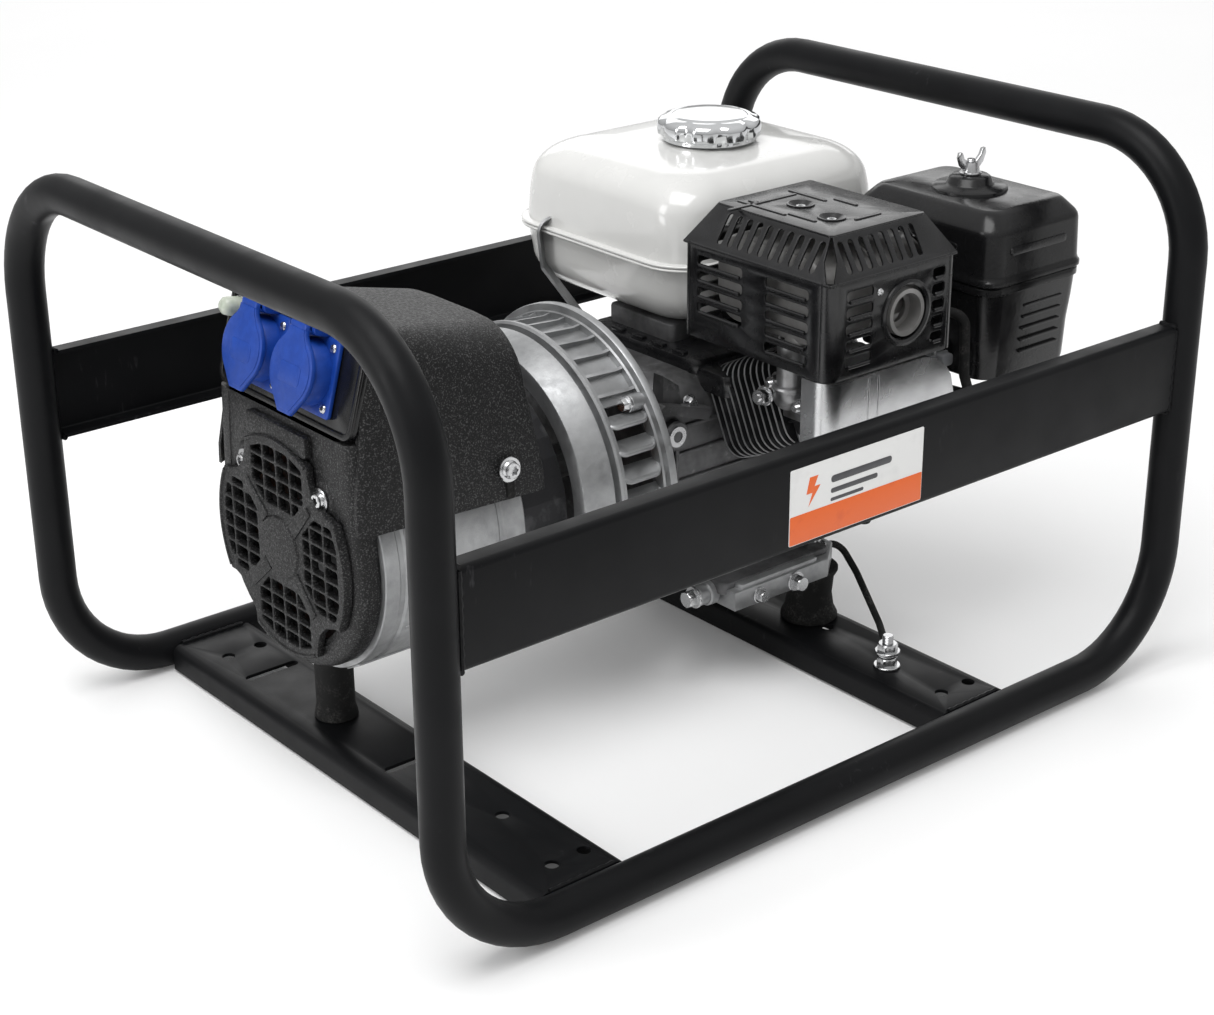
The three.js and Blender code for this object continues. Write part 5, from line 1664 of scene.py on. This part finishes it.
# ---------------------------------------------------------------- starter end
def starter():
    low, high = span("fan_shroud")
    r = (high.z - low.z) / 2
    at = spot((low.x, AXIS.y, AXIS.z), X, Z)
    length = high.x - low.x
    shroud = Shape().hoop(
        [
            (r - 4, 0), (r - 0.8, 0), (r, 1), (r, length * 0.45), (r - 1.2, length * 0.5),
            (r - 1.4, length - 5), (r - 5, length), (61, length), (61, length - 3), (r - 6, length - 3),
            (r - 4, length - 8),
        ],
        80, at,
    )
    piece(shroud, "fan_shroud_pressed", "gloss_plastic", stands_for=("fan_shroud",))
    low, high = span("recoil_cover")
    r = 72
    at = spot((low.x, AXIS.y, AXIS.z), X, Z)
    depth = high.x - low.x
    cover = Shape().hoop(
        [
            (r - 3.5, 0), (r - 0.6, 0), (r, 0.8), (r, depth - 9), (r - 3, depth - 3), (r - 8, depth),
            (62, depth), (62, depth - 3), (r - 8, depth - 3), (r - 5, depth - 7),
        ],
        80, at,
    )
    cover.hoop([(26, depth - 3), (34, depth - 3), (34, depth), (30, depth + 0.001), (26, depth)], 48, at)
    cover.turn([(26.5, depth - 3), (26.5, depth - 0.6), (24, depth), (1, depth)], 40, at)
    for k in range(16):
        a = 22.5 * k
        cover.block((33, 63), (-2.4, 2.4), (depth - 3, depth - 0.2), 0.8, at @ turned(a), 1)
    cover.hoop([(47, depth - 3), (49, depth - 3), (49, depth - 0.2), (47, depth - 0.2)], 64, at)
    for a in (30, 150, 270):
        cover.block((r - 4, r + 4), (-8, 8), (0, 4), 1, at @ turned(a), 3)
    gx, rope_z = 213, AXIS.z - 57
    cover.rod((gx, -20, rope_z), (gx, -12, rope_z), 8, 28, 1)
    piece(cover, "recoil_cover_pressed", "gloss_plastic", stands_for=("recoil_cover",))
    pulley = Shape().hoop(
        [
            (6, 206), (54.4, 206), (55, 206.6), (55, 209.4), (51, 211), (51, 215), (55, 216.6), (55, 219.4),
            (54.4, 220), (6, 220),
        ],
        64, spot((0, AXIS.y, AXIS.z), X, Z),
    )
    for k in range(6):
        pulley.block(
            (14, 48), (-1.5, 1.5), (204.6, 206.5), 0.6, spot((0, AXIS.y, AXIS.z), X, Z) @ turned(60 * k),
        )
    piece(pulley, "recoil_pulley_grooved", "steel", "recoil_pulley", ("recoil_pulley",))
    low, high = span("starter_grip")
    gy, gz = low.y + 7.5, (low.z + high.z) / 2
    profile = []
    half = (high.z - low.z) / 2
    for k in range(29):
        u = -1 + k / 14
        profile.append(
            (max(7.6 - 2.4 * abs(u) ** 6 - 0.5 * math.cos(u * 22) * (abs(u) < 0.8), 2.5), gz + u * half)
        )
    grip = Shape().turn(profile, 32, move(gx, gy))
    grip.rod((gx, gy + 3, gz), (gx, high.y, gz), 4.4, 20)
    piece(grip, "starter_grip_moulded", "rubber", "starter_grip", ("starter_grip",))
    rope = Shape()
    start, end = gy + 8, 30
    rope.sweep([Vector((gx, start + (end - start) * k / 60, gz)) for k in range(61)], 2.1, sides=12)
    rope_piece = piece(rope, "starter_rope", "grey_plastic", None)
    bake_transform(rope_piece)


def controls():
    low, high = span("engine_switch_box")
    shape = Shape().block((low.x, high.x), (low.z, high.z), (0, high.y - low.y), 2, facing_front(high.y), 4)
    cx, cz = (low.x + high.x) / 2, (low.z + high.z) / 2
    shape.hoop([(9.6, 0), (12, 0), (12, 1), (11, 1.8), (9.6, 1.8)], 32, spot((cx, low.y, cz), -Y, Z))
    piece(shape, "engine_switch_case", "gloss_plastic", stands_for=("engine_switch_box",))
    low, high = span("engine_switch_knob")
    at = spot((cx, high.y, cz), -Y, Z)
    knob = Shape().turn([(8.4, 0), (9, 0.6), (9, 6), (8.2, 7)], 32, at)
    knob.block((-3, 3), (-8, 8), (5, high.y - low.y), 1.4, at, 2)
    piece(knob, "engine_switch_turn_knob", "grey_plastic", "engine_switch_knob", ("engine_switch_knob",))
    low, high = span("oil_filler_cap")
    at = spot(((low.x + high.x) / 2, high.y, (low.z + high.z) / 2), -Y, Z)
    cap = Shape()
    rings = []
    for k, z in ((10.4, 0), (11, 0.8), (11, 12), (10, 13.6), (6, 14)):
        rings.append(
            [
                (
                    (k + 0.35 * math.cos(12 * a)) * math.cos(a),
                    (k + 0.35 * math.cos(12 * a)) * math.sin(a), z,
                )
                for a in whole_turn(72)
            ]
        )
    cap.loft(rings, at)
    cap.block((-3, 3), (-10.5, 10.5), (9, high.y - low.y), 1.3, at, 2)
    piece(cap, "oil_cap_moulded", "grey_plastic", "oil_filler_cap", ("oil_filler_cap",))


# ---------------------------------------------------------------- mounts and earth lead
def mounts():
    bolts = Shape()
    for name, side in (("front", -1), ("rear", 1)):
        low, high = span(f"engine_bracket_{name}")
        near = low.y if side < 0 else high.y
        inner = high.y if side < 0 else low.y
        plan = [(49, near), (140, near), (164, near - side * 20), (164, inner), (49, inner)]
        shape = Shape().plate(plan, (low.z, low.z + 14.5), (), 1.3)
        shape.block(
            (56, 132), sorted((near - 2 * side, near - 26 * side)), (low.z + 12, high.z), 1.2, None, 3,
        )
        by = -47 if side < 0 else 137
        shape.rod((low.x, by, 71), (52, by, 71), 7.4, 28, 1.2)
        shape.rod((40, by, 71), (48, by, 71), 9, 28, 1)
        piece(
            shape, f"engine_bracket_{name}_milled", "cast_aluminium",
            stands_for=(f"engine_bracket_{name}",),
        )
        bolts.bolt(spot((low.x - 0.2, by, 71), -X, Z), 11, 7, 8)
        bolts.bolt(spot((107, near, 69), Vector((0, side, 0)), Z), 10, 7, 7.5)
        bolts.bolt(spot((72, near, 69), Vector((0, side, 0)), Z), 8, 5, 6)
        mount_low, mount_high = span(f"rubber_mount_{name}")
        mx, my = (mount_low.x + mount_high.x) / 2, (mount_low.y + mount_high.y) / 2
        r = (mount_high.x - mount_low.x) / 2
        mount = Shape().turn(
            [
                (r - 1, mount_low.z), (r, mount_low.z + 1), (r, mount_low.z + 3), (r - 3, mount_low.z + 9),
                (r - 4.6, mount_low.z + 20), (r - 3.4, mount_high.z - 8), (r - 0.6, mount_high.z - 3),
                (r - 0.6, mount_high.z - 1), (r - 1.6, mount_high.z),
            ],
            44, move(mx, my),
        )
        piece(mount, f"rubber_mount_{name}_moulded", "rubber", stands_for=(f"rubber_mount_{name}",))
        bolts.bolt(move(mx, my, high.z - 3), 13, 7, 11, 6)
    piece(bolts, "mount_bolts", "zinc_steel")
    low, high = span("rubber_foot")
    cx, cy = (low.x + high.x) / 2, (low.y + high.y) / 2
    r = (high.x - low.x) / 2
    foot = Shape().turn(
        [
            (r - 0.6, low.z), (r, low.z + 0.8), (r - 0.6, low.z + 4), (r - 1.8, low.z + 9),
            (r - 1.8, high.z - 5), (r - 1.2, high.z - 3), (r - 1.2, high.z),
        ],
        44, move(cx, cy),
    )
    piece(foot, "rubber_foot_moulded", "rubber", stands_for=("rubber_foot",))


def earth_lead():
    low, high = span("earth_stud")
    x, y = (low.x + high.x) / 2, (low.y + high.y) / 2
    stud = Shape().bolt(move(x, y, low.z), 13, 6, 9.5)
    profile = [(4, low.z + 6)]
    z = low.z + 8
    while z < high.z:
        profile += [(4, z), (3.4, z + 0.6)]
        z += 1.2
    stud.turn(profile, 18, move(x, y))
    stud.hexagon(move(x, y), 13, 33, 38.5)
    stud.turn([(8.6, 31.4), (9, 31.8), (9, 32.8), (8.6, 33.1)], 28, move(x, y))
    stud.plate(
        [*arc(0, 0, 7, 40, 320, 14), (16, -3), (20, -2.4), (20, 2.4), (16, 3)], (28.6, 30.2), (), 0.4,
        move(x, y) @ turned(50),
    )
    piece(stud, "earth_stud_nuts", "zinc_steel", stands_for=("earth_stud",))
    cable = [(166, -45, 72), (176, -45, 71), (178, -62, 52), (160, -104, 31), (x + 9, y + 10, 30)]
    lead = Shape().sweep(bent(cable, 12, 8), 2.6)
    piece(lead, "earth_cable_black", "rubber", stands_for=("earth_cable",))


# ---------------------------------------------------------------- stage
FLOOR_SIZE = 40  # metres, so that its edge stays out of sight


def floor():
    bpy.ops.mesh.primitive_plane_add(size=FLOOR_SIZE, location=(0, 0, 0))
    ground = bpy.context.object
    ground.name = "floor"
    f = Finish("floor", (0.9, 0.9, 0.9), 0.6, Emission_Color=(1, 1, 1, 1), Emission_Strength=0.07)
    f.mottled(2, (0.88, 0.88, 0.88), 0.3, 0.8)
    ground.data.materials.append(f.material)


def lamp(name, at, target, size, power):
    data = bpy.data.lights.new(name, "AREA")
    data.shape = "RECTANGLE"
    data.size, data.size_y = size
    data.energy = power
    thing = bpy.data.objects.new(name, data)
    bpy.context.scene.collection.objects.link(thing)
    thing.location = at
    thing.rotation_euler = (Vector(target) - Vector(at)).to_track_quat("-Z", "Y").to_euler()


def lights():
    world = bpy.data.worlds.new("studio")
    bpy.context.scene.world = world
    world.use_nodes = True
    tree = world.node_tree
    place = tree.nodes.new("ShaderNodeTexCoord")
    split = tree.nodes.new("ShaderNodeSeparateXYZ")
    ramp = tree.nodes.new("ShaderNodeValToRGB")
    tree.links.new(place.outputs["Generated"], split.inputs[0])
    tree.links.new(split.outputs["Z"], ramp.inputs[0])
    tree.links.new(ramp.outputs[0], tree.nodes["Background"].inputs["Color"])
    ramp.color_ramp.elements[0].position = 0.0
    ramp.color_ramp.elements[0].color = (0.5, 0.5, 0.5, 1)
    ramp.color_ramp.elements[1].position = 0.8
    ramp.color_ramp.elements[1].color = (0.95, 0.95, 0.95, 1)
    tree.nodes["Background"].inputs["Strength"].default_value = 0.8
    centre = (cad_box[0] + cad_box[1]) / 2
    lamp("key", (-0.7, -0.3, 2.2), centre, (1.4, 1.4), 30)
    lamp("side", (-2.4, 0.5, 1.1), centre, (0.7, 1.6), 18)
    lamp("back", (2.4, 2.9, 1.8), centre, (4.0, 2.2), 30)


CAMERA_AT = Vector((-0.926, -1.112, 0.752))
CAMERA_YAW, CAMERA_PITCH, CAMERA_ROLL = 50.48, 23.17, -0.36
CAMERA_LENS = 67.0


def camera():
    yaw, pitch = math.radians(CAMERA_YAW), math.radians(CAMERA_PITCH)
    ahead = Vector((math.cos(pitch) * math.cos(yaw), math.cos(pitch) * math.sin(yaw), -math.sin(pitch)))
    data = bpy.data.cameras.new("camera")
    data.lens = CAMERA_LENS
    data.clip_start = 0.02
    thing = bpy.data.objects.new("camera", data)
    turn = ahead.to_track_quat("-Z", "Y").to_matrix() @ Matrix.Rotation(math.radians(CAMERA_ROLL), 3, "Z")
    thing.matrix_world = Matrix.Translation(CAMERA_AT) @ turn.to_4x4()
    bpy.context.scene.collection.objects.link(thing)
    bpy.context.scene.camera = thing
    bpy.context.scene.view_settings.view_transform = "Standard"


def carry_over():
    """The CAD nodes that keep their shape get their slot's finish."""
    for entry in frame["record"]["subparts"]:
        thing = frame["nodes"][entry["node"]]
        thing.data.materials.clear()
        thing.data.materials.append(look(entry["material_slot"]))


floor()
lights()
camera()
frame_tube()
side_bars()
side_label()
cross_plates()
end_cover()
end_grille()
alternator_hood()
drum()
bell_housing()
socket_panel()
sockets()
socket_lids()
breaker()
cylinder()
crankcase()
exhaust()
head_cowl()
muffler_guard()
fuel_tank()
fuel_cap()
air_cleaner()
carburettor()
starter()
controls()
mounts()
earth_lead()
carry_over()
